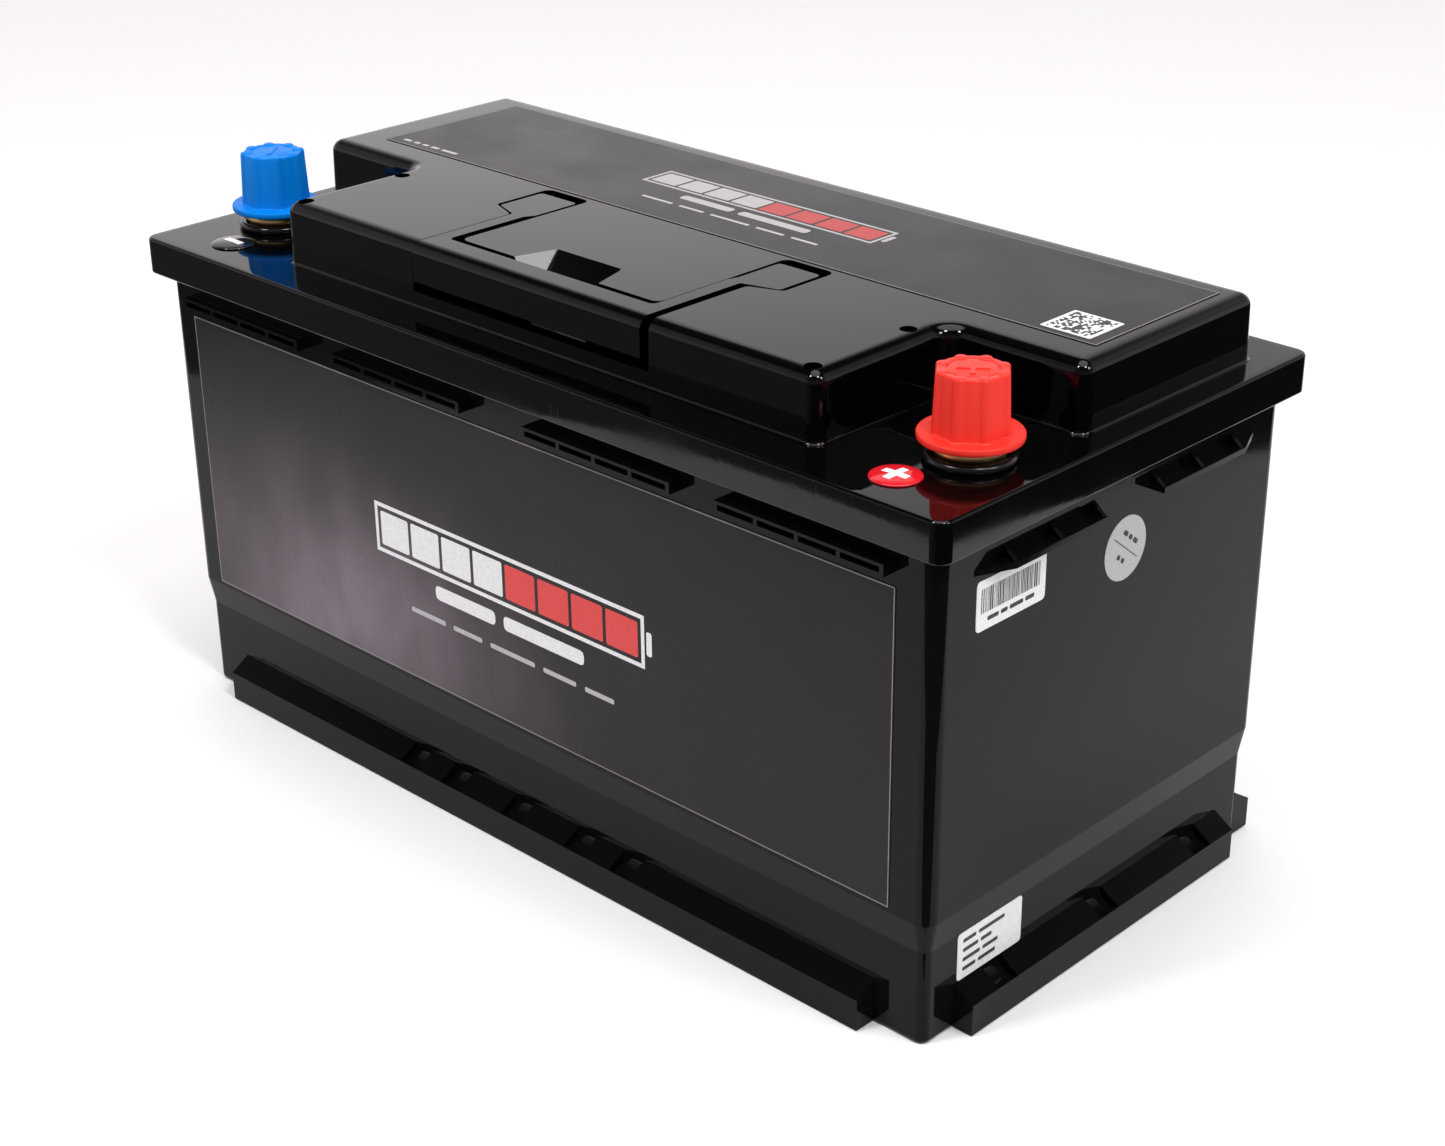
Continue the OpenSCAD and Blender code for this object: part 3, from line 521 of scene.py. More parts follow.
def make_materials():
    """Every material by name."""
    grey = (0.62, 0.63, 0.65, 1)
    return {
        "case": gloss_plastic("case_black", (0.0007, 0.0006, 0.0007, 1), 0.03, 0.08, shine=0.32),
        "tub": gloss_plastic("tub_black", (0.0025, 0.0021, 0.0023, 1), 0.05, 0.10, 0.000006,
                             shine=0.12),
        "handle": gloss_plastic("handle_black", (0.0007, 0.0006, 0.0007, 1), 0.04, 0.08, shine=0.32),
        "seal": gloss_plastic("seal_rubber", (0.006, 0.006, 0.006, 1), 0.16, 0.3, 0.00001),
        "red": soft_plastic("cap_red", (0.82, 0.031, 0.018, 1), (0.82, 0.028, 0.015, 1), shine=0.3),
        "blue": soft_plastic("cap_blue", (0.0, 0.21, 0.72, 1), (0.0, 0.19, 0.66, 1), shine=0.1),
        "brass": metal("terminal_brass", (1.0, 0.72, 0.34, 1), (0.92, 0.60, 0.25, 1), 0.30, 0.42,
                       (1, 1, 12), 0.000002),
        "steel": metal("zinc_steel", grey, (0.45, 0.46, 0.48, 1)),
        "aluminium": metal("aluminium", (0.78, 0.79, 0.81, 1), (0.62, 0.63, 0.66, 1), 0.25, 0.45),
        "copper": metal("copper", (0.80, 0.38, 0.20, 1), (0.55, 0.24, 0.13, 1), 0.22, 0.42),
        "wrap": gloss_plastic("cell_film", (0.010, 0.10, 0.36, 1), 0.18, 0.34, 0.00002, 0.1),
        "insulation": soft_plastic("insulation", (0.60, 0.52, 0.30, 1), (0.42, 0.36, 0.20, 1)),
        "strap": soft_plastic("strap", (0.01, 0.18, 0.05, 1), (0.01, 0.13, 0.04, 1)),
        "foam": foam_material("foam"),
        "nylon": soft_plastic("nylon_black", (0.02, 0.02, 0.022, 1), (0.035, 0.035, 0.038, 1)),
        "board": board_material("circuit_board"),
        "chip": soft_plastic("chip", (0.012, 0.012, 0.013, 1), (0.03, 0.03, 0.03, 1)),
        "socket": soft_plastic("socket", (0.76, 0.73, 0.66, 1), (0.66, 0.63, 0.56, 1)),
        "wire_red": soft_plastic("wire_red", (0.55, 0.015, 0.012, 1), (0.42, 0.01, 0.01, 1)),
        "wire_black": soft_plastic("wire_black", (0.01, 0.01, 0.01, 1), (0.02, 0.02, 0.02, 1)),
        "front_film": film_material("front_film", (0.012, 0.0098, 0.011, 1), (0.21, 0.168, 0.20, 1),
                                    (-0.088, -0.082, 0.052), (0.098, 1.0, 0.056), 1.0),
        "top_film": film_material("top_film", (0.007, 0.0056, 0.0063, 1), (0.02, 0.016, 0.0187, 1),
                                  (-0.08, 0.0, 0.190), (0.10, 0.05, 1.0), 0.6),
        "paper": ink("paper", (0.78, 0.78, 0.80, 1), 0.5),
        "silver": ink("silver_film", (0.42, 0.42, 0.41, 1), 0.45),
        "ink_white": ink("ink_white", (0.80, 0.80, 0.80, 1)),
        "ink_red": ink("ink_red", (0.72, 0.03, 0.025, 1)),
        # Darker copies of ink_white and ink_red for the top label: their darkening is painted shade
        # on the raised top.
        "top_white_shaded": ink("top_ink_white_painted_shade", (0.42, 0.40, 0.41, 1)),
        "top_red_shaded": ink("top_ink_red_painted_shade", (0.45, 0.028, 0.024, 1)),
        "ink_pale": ink("ink_pale", (0.46, 0.44, 0.45, 1)),
        "ink_line": ink("ink_line", (0.26, 0.24, 0.23, 1)),
        "ink_black": ink("ink_black", (0.012, 0.012, 0.012, 1)),
    }


# Material of each CAD node that is shown as it is; all of them are inside the case.
CAD_MATERIALS = {
    "handle_pin_left": "steel", "handle_pin_right": "steel",
    "cell_1": "wrap", "cell_2": "wrap", "cell_3": "wrap", "cell_4": "wrap",
    "cell_terminals": "aluminium", "cell_vents": "aluminium", "cell_studs": "steel",
    "stud_washers": "steel", "stud_nuts": "steel",
    "busbar_left": "copper", "busbar_rear": "copper", "busbar_right": "copper",
    "row_separator": "insulation", "column_separator": "insulation",
    "strap_lower": "strap", "strap_upper": "strap",
    "foam_base": "foam", "foam_front": "foam", "foam_rear": "foam",
    "foam_left": "foam", "foam_right": "foam",
    "bms_tray": "nylon", "bms_board": "board", "bms_transistors": "chip",
    "bms_heat_sink": "aluminium", "bms_connector": "socket", "bms_screws": "steel",
    "balance_wires": "wire_red", "temperature_probe": "wire_black",
    "positive_cable": "wire_red", "cell_negative_cable": "wire_black",
    "output_negative_cable": "wire_black", "cable_lugs": "steel", "terminal_nuts": "steel",
}


# ---- Case tub ----

def tub_shell(bm):
    """Hollow tub: foot, sloped band, upper wall and the rim inside the lid."""
    high = box_mm("case_tub")[1]
    half_x = high[0] - TUB_INSET
    half_y = high[1] - TUB_INSET
    path = round_path([
        (FOOT_INSET + 3, 0, 0), (FOOT_INSET, 0, 1.0), (FOOT_INSET, BAND_LOW, 4), (0, BAND_HIGH, 4),
        (0, RIM_TOP - 7, 0), (-2.1, RIM_TOP - 7, 0), (-2.1, RIM_TOP, 0), (WALL, RIM_TOP, 0),
        (WALL, BAND_HIGH, 4), (WALL + FOOT_INSET, BAND_LOW, 4), (WALL + FOOT_INSET, WALL, 0.0),
        (WALL + FOOT_INSET + 1, WALL, 0),
    ])
    loft(bm, stack(rectangle(half_x, half_y, TUB_CORNER), path, 8))


def ledge_mesh(length, outer, inner, scoops):
    """Hold-down ledge along X on the -Y side, with its scoops."""
    bm = bmesh.new()
    section = [(-inner + 3, 0), (-inner + 3, LEDGE_TOP), (-inner, LEDGE_TOP), (-outer, LEDGE_FACE),
               (-outer, 0)]
    prism(bm, section, -length / 2, length / 2, "X")
    obj = to_object(to_mesh(bm, "ledge"), "ledge")
    slope = math.atan2(LEDGE_TOP - LEDGE_FACE, outer - inner)
    y = -(outer + inner) / 2 - SCOOP_REACH * math.sin(slope)
    z = (LEDGE_FACE + LEDGE_TOP) / 2 + SCOOP_REACH * math.cos(slope)
    for x in scoops:
        tool = bmesh.new()
        rod(tool, x - SCOOP_WIDTH / 2, x + SCOOP_WIDTH / 2, y, z, SCOOP_RADIUS)
        carve(obj, tool)
    mesh = obj.data
    bpy.data.objects.remove(obj)
    return mesh


def rail_mesh():
    """Proud rail on the -Y side with pockets in its face, centred on x = 0."""
    half = RAIL_LENGTH / 2
    bm = bmesh.new()
    block(bm, (-half, -RAIL_FACE, RAIL_BOTTOM), (half, -RAIL_BACK, RAIL_BOTTOM + RAIL_HEIGHT))
    obj = to_object(to_mesh(bm, "rail"), "rail")
    gap = 1.5
    pitch = (RAIL_LENGTH - gap) / RAIL_POCKETS
    tool = bmesh.new()
    for i in range(RAIL_POCKETS):
        x = -half + gap + i * pitch
        block(tool, (x, -RAIL_FACE - 0.7, RAIL_BOTTOM + 0.95),
              (x + pitch - gap, -RAIL_FACE + 2.6, RAIL_BOTTOM + 2.75))
    carve(obj, tool)
    mesh = obj.data
    bpy.data.objects.remove(obj)
    return mesh


def end_rails(bm):
    """Shelves with slanted ends and gusset ribs on both end walls."""
    for end in (-1, 1):
        for side in (-1, 1):
            plan = [(END_RAIL_BACK, 13.6), (END_RAIL_FACE, 13.6), (END_RAIL_FACE, 55),
                    (END_RAIL_BACK + 0.6, 67), (END_RAIL_BACK, 67)]
            prism(bm, [(end * x, side * y) for x, y in plan], END_RAIL_BOTTOM, END_RAIL_TOP, "Z")
            rib = [(END_RAIL_BACK, END_RAIL_TOP - 0.1), (END_RAIL_FACE - 0.6, END_RAIL_TOP - 0.1),
                   (END_RAIL_BACK + 0.6, END_RAIL_TOP + 3.6), (END_RAIL_BACK, END_RAIL_TOP + 3.6)]
            for y in END_RIBS:
                prism(bm, [(end * x, z) for x, z in rib], side * y - 0.7, side * y + 0.7, "Y")


def make_tub(materials):
    """Lower part of the case with its ledges and rails."""
    bm = bmesh.new()
    tub_shell(bm)
    end_rails(bm)
    for ledge, turns in ((FRONT_LEDGE, (0,)), (REAR_LEDGE, (180,)), (END_LEDGE, (90, 270))):
        mesh = ledge_mesh(*ledge)
        for turn in turns:
            add_copy(bm, mesh, Matrix.Rotation(math.radians(turn), 4, "Z"))
    rail = rail_mesh()
    for turn in (0, 180):
        for x in RAIL_CENTRES:
            spot = Matrix.Rotation(math.radians(turn), 4, "Z") @ Matrix.Translation((x * MM, 0, 0))
            add_copy(bm, rail, spot)
    obj = to_object(to_mesh(bm, "case_shell"), "case_shell")
    soften(obj, 0.35)
    finish_piece(obj, BODY, materials["tub"], "case_black", "case_tub")


# ---- Lid ----

def deck_mesh():
    """Raised top of the lid with the handle slot, finger recess and four blind holes."""
    foot = [(-1 + math.sin(a), 170 - math.cos(a)) for a in [math.radians(15 * k) for k in range(7)]]
    upper = round_path([(0, 171, 0), (0.4, DECK_TOP, DECK_EDGE), (9, DECK_TOP, 0)], 9)
    path = [(-1, 168.6)] + foot + [tuple(p) for p in upper[1:-1]] + [(6, DECK_TOP)]
    bm = bmesh.new()
    loft(bm, stack(DECK_CORNERS, path, 8))
    deck = to_object(to_mesh(bm, "deck"), "deck")

    slot = bmesh.new()
    loft(slot, stack(SLOT_CORNERS, [(0, SLOT_FLOOR), (0, DECK_TOP + 5)], 6))
    carve(deck, slot)

    recess = bmesh.new()
    top = [(-19.3, -60, 0.6), (19.3, -60, 0.6), (14.4, -44, 1.2), (-14.4, -44, 1.2)]
    low = [(-12, -60, 0.3), (12, -60, 0.3), (12, -57.5, 0.3), (-12, -57.5, 0.3)]
    loft(recess, [stack(low, [(0, 178)])[0]] + stack(top, [(0, DECK_TOP), (0, DECK_TOP + 5)]))
    carve(deck, recess)

    holes = bmesh.new()
    for place in HOLE_PLACES:
        turned(holes, place, [(HOLE_RADIUS, DECK_TOP - HOLE_DEPTH), (HOLE_RADIUS, DECK_TOP + 5)], 40)
    carve(deck, holes)
    mesh = deck.data
    bpy.data.objects.remove(deck)
    return mesh


def make_lid(materials):
    """Lid: skirt, shelf and raised top."""
    high = box_mm("lid")[1]
    path = round_path([
        (WALL + 1, RIM_TOP, 0), (WALL, RIM_TOP, 0), (WALL, SKIRT_BOTTOM, 0.4), (0, SKIRT_BOTTOM, 0.6),
        (0, SHELF_TOP, 1.1), (3, SHELF_TOP, 0),
    ])
    bm = bmesh.new()
    loft(bm, stack(rectangle(high[0], high[1], LID_CORNER), path, 8))
    add_copy(bm, deck_mesh(), Matrix.Identity(4))
    obj = to_object(to_mesh(bm, "lid_shell"), "lid_shell")
    soften(obj, 0.25, 3)
    finish_piece(obj, BODY, materials["case"], "case_black", "lid")


# ---- Carry handle ----

def make_handle(materials):
    """Carry handle: bar with a rounded front edge, two arms, and hinge pads with bored barrels."""
    bm = bmesh.new()
    loft(bm, stack(HANDLE_CORNERS, [(0, BAR_BOTTOM), (0, DECK_TOP)], 5))
    handle = to_object(to_mesh(bm, "handle_grip"), "handle_grip")

    edge = bmesh.new()
    front = HANDLE_CORNERS[0][1]
    corner = [(front - 1, DECK_TOP + 1), (front - 1, DECK_TOP - DECK_EDGE)]
    bend = [math.radians(180 - 7.5 * k) for k in range(13)]
    rounded = [(front + DECK_EDGE * (1 + math.cos(a)), DECK_TOP - DECK_EDGE * (1 - math.sin(a)))
               for a in bend]
    prism(edge, corner + rounded + [(front + DECK_EDGE, DECK_TOP + 1)], -60, 60, "X")
    carve(handle, edge)

    under = bmesh.new()
    block(under, (-70, BAR_BACK, 170), (70, 0, ARM_BOTTOM))
    carve(handle, under)
    for low, high in HINGE_PADS:
        barrel = bmesh.new()
        rod(barrel, low, high, HINGE_Y, HINGE_Z, BARREL_RADIUS)
        carve(handle, barrel, "UNION")
    bores = bmesh.new()
    for low, high in ((-70, -40), (40, 70)):
        rod(bores, low, high, HINGE_Y, HINGE_Z, BORE_RADIUS)
    carve(handle, bores)
    soften(handle, 0.22, 3)
    finish_piece(handle, "handle", materials["handle"], "handle_black", "carry_handle")


# ---- Terminals ----

def ribbed(angle, crest):
    """Radius of the ribbed body at an angle: round ribs standing out of a cone."""
    spread = math.tau / RIBS
    off = ((angle - RIB_TURN) / spread + 0.5) % 1.0 * spread - spread / 2
    cone = crest - RIB_PROUD
    centre = crest - RIB_RADIUS
    inside = RIB_RADIUS ** 2 - (centre * math.sin(off)) ** 2
    rib = centre * math.cos(off) + math.sqrt(inside) if inside > 0 else cone - 3
    soft = 0.2
    return 0.5 * (cone + rib + math.sqrt((cone - rib) ** 2 + soft ** 2))


def cap_ring(centre, station, steps=288):
    """Ring of the cap: station is (round radius, height, share of the ribbed shape, inset)."""
    radius, height, share, inset = station
    climb = (height - CAP_LOW) / (CAP_TOP - CAP_LOW)
    crest = CAP_RADIUS[0] + (CAP_RADIUS[1] - CAP_RADIUS[0]) * climb
    points = []
    for k in range(steps):
        angle = math.tau * k / steps
        r = radius + (ribbed(angle, crest) - inset - radius) * share
        points.append((centre[0] + r * math.cos(angle), centre[1] + r * math.sin(angle), height))
    return points


def rib_tops(bm, centre, top):
    """Rounded end of each rib, above the disc of the cap."""
    radius = RIB_RADIUS - 0.04
    reach = CAP_RADIUS[1] - RIB_RADIUS
    bend = 0.9
    dome = [(radius - bend + bend * math.cos(a), top - bend * 0.6 * (1 - math.sin(a)))
            for a in [math.radians(15 * k) for k in range(7)]]
    for i in range(RIBS):
        angle = RIB_TURN + math.tau * i / RIBS
        place = (centre[0] + reach * math.cos(angle), centre[1] + reach * math.sin(angle))
        turned(bm, place, [(radius, top - 3)] + dome + [(0.2, top)], 32)


def sign_marks(bm, centre, plus, reach, width, low, high):
    """Raised bar, or cross, of a polarity sign."""
    made = bmesh.new()
    if plus:
        quarter = [(-width, -reach), (width, -reach), (width, -width)]
        turns = [Matrix.Rotation(math.tau * k / 4, 2) for k in range(4)]
        cross = [turn @ Vector(point) for turn in turns for point in quarter]
        prism(made, cross, low, high, "Z")
    else:
        block(made, (-width, -reach, low), (width, reach, high))
    mesh = bpy.data.meshes.new("sign")
    made.to_mesh(mesh)
    made.free()
    mesh.transform(Matrix.Translation((*centre, 0)) @ Matrix.Rotation(SIGN_TURN, 4, "Z"))
    bm.from_mesh(mesh)
    bpy.data.meshes.remove(mesh)


def make_cap(node_name, body, post_radius, plus, material, slot):
    """Pull-off cap with a brim, round ribs that rise above its disc, and a raised sign."""
    centre = axis_place(node_name)
    inner = post_radius + 0.28
    disc = CAP_TOP - 0.4
    edge = BRIM_RADIUS
    bore = [
        (1.0, CAP_TOP - 2, 0, 0), (inner - 0.95, CAP_TOP - 2, 0, 0), (inner, CAP_LOW + 0.3, 0, 0),
        (inner + 0.3, CAP_LOW, 0, 0),
    ]
    brim = [
        (edge - 0.6, CAP_LOW, 0, 0), (edge - 0.15, CAP_LOW + 0.25, 0, 0), (edge, CAP_LOW + 0.7, 0, 0),
        (edge, BRIM_TOP - 0.5, 0, 0), (edge - 0.2, BRIM_TOP - 0.12, 0, 0),
        (edge - 0.7, BRIM_TOP, 0, 0), (edge - 2.6, BRIM_TOP, 0, 0),
    ]
    ribs = [
        (12.1, BRIM_TOP + 0.05, 0.6, -0.4), (11.0, BRIM_TOP + 0.4, 1, -0.1),
        (11.0, BRIM_TOP + 0.9, 1, 0), (11.0, 182, 1, 0), (11.0, 188, 1, 0), (11.0, disc - 0.6, 1, 0),
        (11.0, disc - 0.25, 1, 0.08), (11.0, disc - 0.06, 1, 0.3), (11.0, disc, 1, 0.6),
    ]
    top = [
        (8.6, disc - 0.03, 0.5, 0.9), (7.7, disc - 0.08, 0, 0), (7.45, disc - 0.32, 0, 0),
        (7.1, disc - 0.3, 0, 0), (6.8, disc - 0.08, 0, 0), (1.0, disc - 0.04, 0, 0),
    ]
    stations = bore + brim + ribs + top
    bm = bmesh.new()
    loft(bm, [cap_ring(centre, station) for station in stations])
    rib_tops(bm, centre, CAP_TOP - 0.1)
    sign_marks(bm, centre, plus, 4.6, 0.7, disc - 1.0, disc + 0.3)
    obj = to_object(to_mesh(bm, node_name + "_moulding"), node_name + "_moulding")
    soften(obj, 0.1)
    finish_piece(obj, body, material, slot, node_name)


def stud_path(bottom):
    """Threaded stud below a post, from its axis at the bottom up to the shoulder."""
    path = [(0.5, bottom), (STUD_RADIUS - 0.6, bottom)]
    for i in range(STUD_THREADS):
        path.append((STUD_RADIUS, bottom + (i + 0.5) * STUD_PITCH))
        path.append((STUD_RADIUS - 0.6, bottom + (i + 1) * STUD_PITCH))
    path.append((STUD_RADIUS - 0.6, POST_SHOULDER))
    return path


def collar_path(collar, foot_radius):
    """Bulging side of the collar on the shelf, up to the foot of the post."""
    bulge = 2.6
    path = [(collar - 0.5, SHELF_TOP)]
    for a in [math.radians(6 * k) for k in range(-9, 12)]:
        radius = collar - bulge + bulge * math.cos(a)
        if radius > foot_radius - 0.1:
            path.append((radius, COLLAR_TOP - 2.4 * (1 - math.sin(a))))
    return path


def make_post(node_name, foot_radius, materials):
    """Tapered brass post with a bulging collar and a threaded stud below the shelf."""
    low, high = box_mm(node_name)
    path = stud_path(low[2])
    path += [(foot_radius - 1.2, POST_SHOULDER), (foot_radius - 1.2, SHELF_TOP)]
    path += collar_path((high[0] - low[0]) / 2, foot_radius)
    tip = foot_radius - 0.85
    path += [(foot_radius - 0.05, COLLAR_TOP), (tip, POST_TOP - 1)]
    path += [(tip - 0.8 * (1 - math.cos(a)), POST_TOP - 0.8 * (1 - math.sin(a)))
             for a in [math.radians(22.5 * k) for k in range(5)]]
    path.append((0.5, POST_TOP))
    bm = bmesh.new()
    turned(bm, axis_place(node_name), path)
    obj = to_object(to_mesh(bm, node_name + "_turning"), node_name + "_turning")
    soften(obj, 0.08)
    finish_piece(obj, BODY, materials["brass"], "terminal_brass", node_name)


def make_seal(node_name, materials):
    """Rubber ring round the foot of a terminal."""
    low, high = box_mm(node_name)
    radius = (high[2] - low[2]) / 2
    middle = (high[0] - low[0]) / 2 - radius
    height = (high[2] + low[2]) / 2
    path = [(middle + radius * math.cos(a), height + radius * math.sin(a))
            for a in [math.tau * k / 28 for k in range(28)]]
    bm = bmesh.new()
    turned(bm, axis_place(node_name), path, 120, True)
    obj = to_object(to_mesh(bm, node_name + "_ring"), node_name + "_ring")
    obj.data.shade_smooth()
    finish_piece(obj, BODY, materials["seal"], "seal_rubber", node_name)


# ---- Labels and stickers ----

class Sheet:
    """Flat printed sheet: a base plate and thin prints on it, one material per layer.

    Places on it are (u, v) in millimetres; to_space turns (u, v, height) into the CAD frame.
    """

    def __init__(self, name, to_space):
        self.name = name
        self.to_space = to_space
        self.bm = bmesh.new()
        self.layers = []

    def plate(self, material, corners, low=0.0, high=SHEET, steps=5):
        """Adds a flat plate; corners are (u, v, radius) on the sheet."""
        if material not in self.layers:
            self.layers.append(material)
        before = len(self.bm.faces)
        points = outline(corners, 0, steps)
        loft(self.bm, [[self.to_space(p.x, p.y, w) for p in points] for w in (low, high)])
        self.bm.faces.ensure_lookup_table()
        for face in self.bm.faces[before:]:
            face.material_index = self.layers.index(material)

    def print_box(self, material, u_low, v_low, u_high, v_high, radius=0.0, steps=1):
        """Adds a printed rectangle just above the plate."""
        corners = rectangle((u_high - u_low) / 2, (v_high - v_low) / 2, max(radius, 0.01),
                            (u_low + u_high) / 2, (v_low + v_high) / 2)
        self.plate(material, corners, SHEET - 0.01, SHEET + 0.02, steps)

    def border(self, material, u_low, v_low, u_high, v_high, width):
        """Adds a printed frame of the given line width."""
        self.print_box(material, u_low, v_low, u_high, v_low + width)
        self.print_box(material, u_low, v_high - width, u_high, v_high)
        self.print_box(material, u_low, v_low + width, u_low + width, v_high - width)
        self.print_box(material, u_high - width, v_low + width, u_high, v_high - width)

    def finish(self, materials, slot, node_name):
        """Makes the sheet a piece of the battery."""
        obj = to_object(to_mesh(self.bm, self.name), self.name)
        for layer in self.layers:
            obj.data.materials.append(materials[layer])
        finish_piece(obj, BODY, None, slot, node_name)


def blank(node_name, name, view, material, radius):
    """Bare sheet over a CAD node that is read from the front, the top or the right end.

    Gives the sheet and the low and high (u, v) of its plate.
    """
    low, high = box_mm(node_name)
    across, up = {"front": (0, 2), "top": (0, 1), "end": (1, 2)}[view]
    to_space = {
        "front": lambda u, v, w: (u, high[1] - w, v),
        "top": lambda u, v, w: (u, v, low[2] + w),
        "end": lambda u, v, w: (low[0] + w, u, v),
    }[view]
    half_u = (high[across] - low[across]) / 2
    half_v = (high[up] - low[up]) / 2
    sheet = Sheet(name, to_space)
    sheet.plate(material, rectangle(half_u, half_v, radius, low[across] + half_u, low[up] + half_v))
    return sheet, (low[across], low[up]), (high[across], high[up])


def charge_gauge(sheet, u, v, half_u, half_v, white, red):
    """Generic charge gauge: a frame with a nub and a row of bars, the last ones red."""
    bars = 8
    red_bars = 4
    line = half_v * 0.16
    sheet.border(white, u - half_u, v - half_v, u + half_u, v + half_v, line)
    sheet.print_box(white, u + half_u + line * 0.6, v - half_v * 0.45,
                    u + half_u + line * 2.2, v + half_v * 0.45, line * 0.5, 3)
    pitch = (2 * half_u - 3 * line) / bars
    for i in range(bars):
        left = u - half_u + 2 * line + i * pitch
        colour = red if i >= bars - red_bars else white
        sheet.print_box(colour, left, v - half_v + 2 * line, left + pitch - line,
                        v + half_v - 2 * line, line * 0.5, 3)


def dashes(sheet, material, u, v, lengths, height, gap):
    """Row of short bars in place of a line of print, centred on (u, v)."""
    total = sum(lengths) + gap * (len(lengths) - 1)
    left = u - total / 2
    for length in lengths:
        sheet.print_box(material, left, v - height / 2, left + length, v + height / 2,
                        height * 0.3, 2)
        left += length + gap


def edge_line(sheet, low, high):
    """Thin line just inside the edge of a label."""
    sheet.border("ink_line", low[0] + 0.3, low[1] + 0.3, high[0] - 0.3, high[1] - 0.3, 0.3)


def make_front_label(materials):
    """Large label on the front wall; gauge and dashes stand in for its print."""
    sheet, low, high = blank("front_label", "front_label_print", "front", "front_film", 0.8)
    edge_line(sheet, low, high)
    charge_gauge(sheet, -3, 93.2, 63, 8.9, "ink_white", "ink_red")
    dashes(sheet, "ink_white", -2, 78.2, [29, 37], 5.0, 4.0)
    dashes(sheet, "ink_pale", -2, 67.9, [17, 14, 21, 15, 13], 1.7, 4.0)
    sheet.finish(materials, "front_film", "front_label")


def make_top_label(materials):
    """Label on the raised top; gauge and dashes stand in for its print."""
    sheet, low, high = blank("top_label", "top_label_print", "top", "top_film", 0.8)
    edge_line(sheet, low, high)
    # The white and red print here uses the darker ink copies, which carry painted shade for the
    # raised top.
    charge_gauge(sheet, 2, 33, 51, 7.0, "top_white_shaded", "top_red_shaded")
    dashes(sheet, "top_white_shaded", 3, 21.4, [23, 30], 3.8, 3.2)
    dashes(sheet, "ink_pale", 3, 13.6, [14, 11, 17, 12, 11], 1.3, 3.2)
    dashes(sheet, "ink_pale", -132, 3.6, [4, 3, 3, 4, 8], 1.6, 1.6)
    sheet.finish(materials, "top_film", "top_label")


def make_code_sticker(materials):
    """White sticker with a random square pattern that encodes nothing."""
    sheet, low, high = blank("square_code_sticker", "square_code_print", "top", "paper", 0.5)
    side = 15.0
    cells = 17
    size = side / cells
    left = (low[0] + high[0] - side) / 2
    front = (low[1] + high[1] - side) / 2
    dice = random.Random(11)
    for row in range(cells):
        v = front + row * size
        run = 0
        for column in range(cells + 1):
            if column < cells and dice.random() < 0.52:
                run += 1
                continue
            if run:
                u = left + (column - run) * size
                sheet.print_box("ink_black", u, v, u + run * size, v + size * 0.98)
            run = 0
    sheet.finish(materials, "sticker_white", "square_code_sticker")


def make_barcode(materials):
    """White sticker with bars of random width over a row of dashes."""
    sheet, low, high = blank("barcode_sticker", "barcode_print", "end", "paper", 1.5)
    dice = random.Random(5)
    u = low[0] + 2.0
    while u < high[0] - 2.4:
        width = dice.choice((0.22, 0.22, 0.42, 0.62))
        sheet.print_box("ink_black", u, low[1] + 5.2, u + width, high[1] - 2.6)
        u += width + dice.choice((0.24, 0.24, 0.44))
    dashes(sheet, "ink_black", (low[0] + high[0]) / 2, low[1] + 3.0, [5, 3, 6, 4], 1.3, 0.9)
    sheet.finish(materials, "sticker_white", "barcode_sticker")


def make_rating(materials):
    """White sticker with four rows of dashes."""
    sheet, low, high = blank("rating_sticker", "rating_print", "end", "paper", 1.2)
    for i, lengths in enumerate([[6, 12], [7, 5], [8, 7], [6, 8]]):
        u = low[0] + 2.4
        v = high[1] - 3.0 - i * 3.2
        for length in lengths:
            sheet.print_box("ink_black", u, v - 0.65, u + length, v + 0.65, 0.3, 2)
            u += length + 1.2
    sheet.finish(materials, "sticker_white", "rating_sticker")


def make_round_sticker(materials):
    """Silver inspection sticker with a slanted line and two rows of dashes."""
    low, high = box_mm("round_sticker")
    middle = ((low[1] + high[1]) / 2, (low[2] + high[2]) / 2)
    lean = math.radians(-38)

    def to_space(u, v, w):
        """The sticker's own directions lean about its centre."""
        across = u * math.cos(lean) - v * math.sin(lean)
        up = u * math.sin(lean) + v * math.cos(lean)
        return (low[0] + w, middle[0] + across, middle[1] + up)

    sheet = Sheet("round_sticker_print", to_space)
    sheet.plate("silver", rectangle(10, 10, 9.99), steps=24)
    sheet.print_box("ink_black", -7.5, -0.16, 7.5, 0.16)
    dashes(sheet, "ink_black", 0, 3.6, [2.6, 2.0, 2.6], 1.5, 0.8)
    dashes(sheet, "ink_black", 0, -3.6, [1.8, 1.8], 1.5, 0.8)
    sheet.finish(materials, "sticker_silver", "round_sticker")


def make_badge(node_name, plus, colour, slot):
    """Domed round badge with a polarity sign."""
    base = box_mm(node_name)[0][2]
    centre = axis_place(node_name)
    dome = [(BADGE_RADIUS * math.cos(a), base + 0.35 + 0.75 * math.sin(a))
            for a in [math.radians(9 * k) for k in range(1, 10)]]
    foot = [(BADGE_RADIUS - 0.1, base), (BADGE_RADIUS, base + 0.12), (BADGE_RADIUS, base + 0.3)]
    bm = bmesh.new()
    turned(bm, centre, foot + dome + [(0.6, base + 1.1)])
    obj = to_object(to_mesh(bm, node_name + "_dome"), node_name + "_dome")
    obj.data.shade_smooth()
    finish_piece(obj, BODY, badge_material(node_name, centre, plus, colour), slot, node_name)


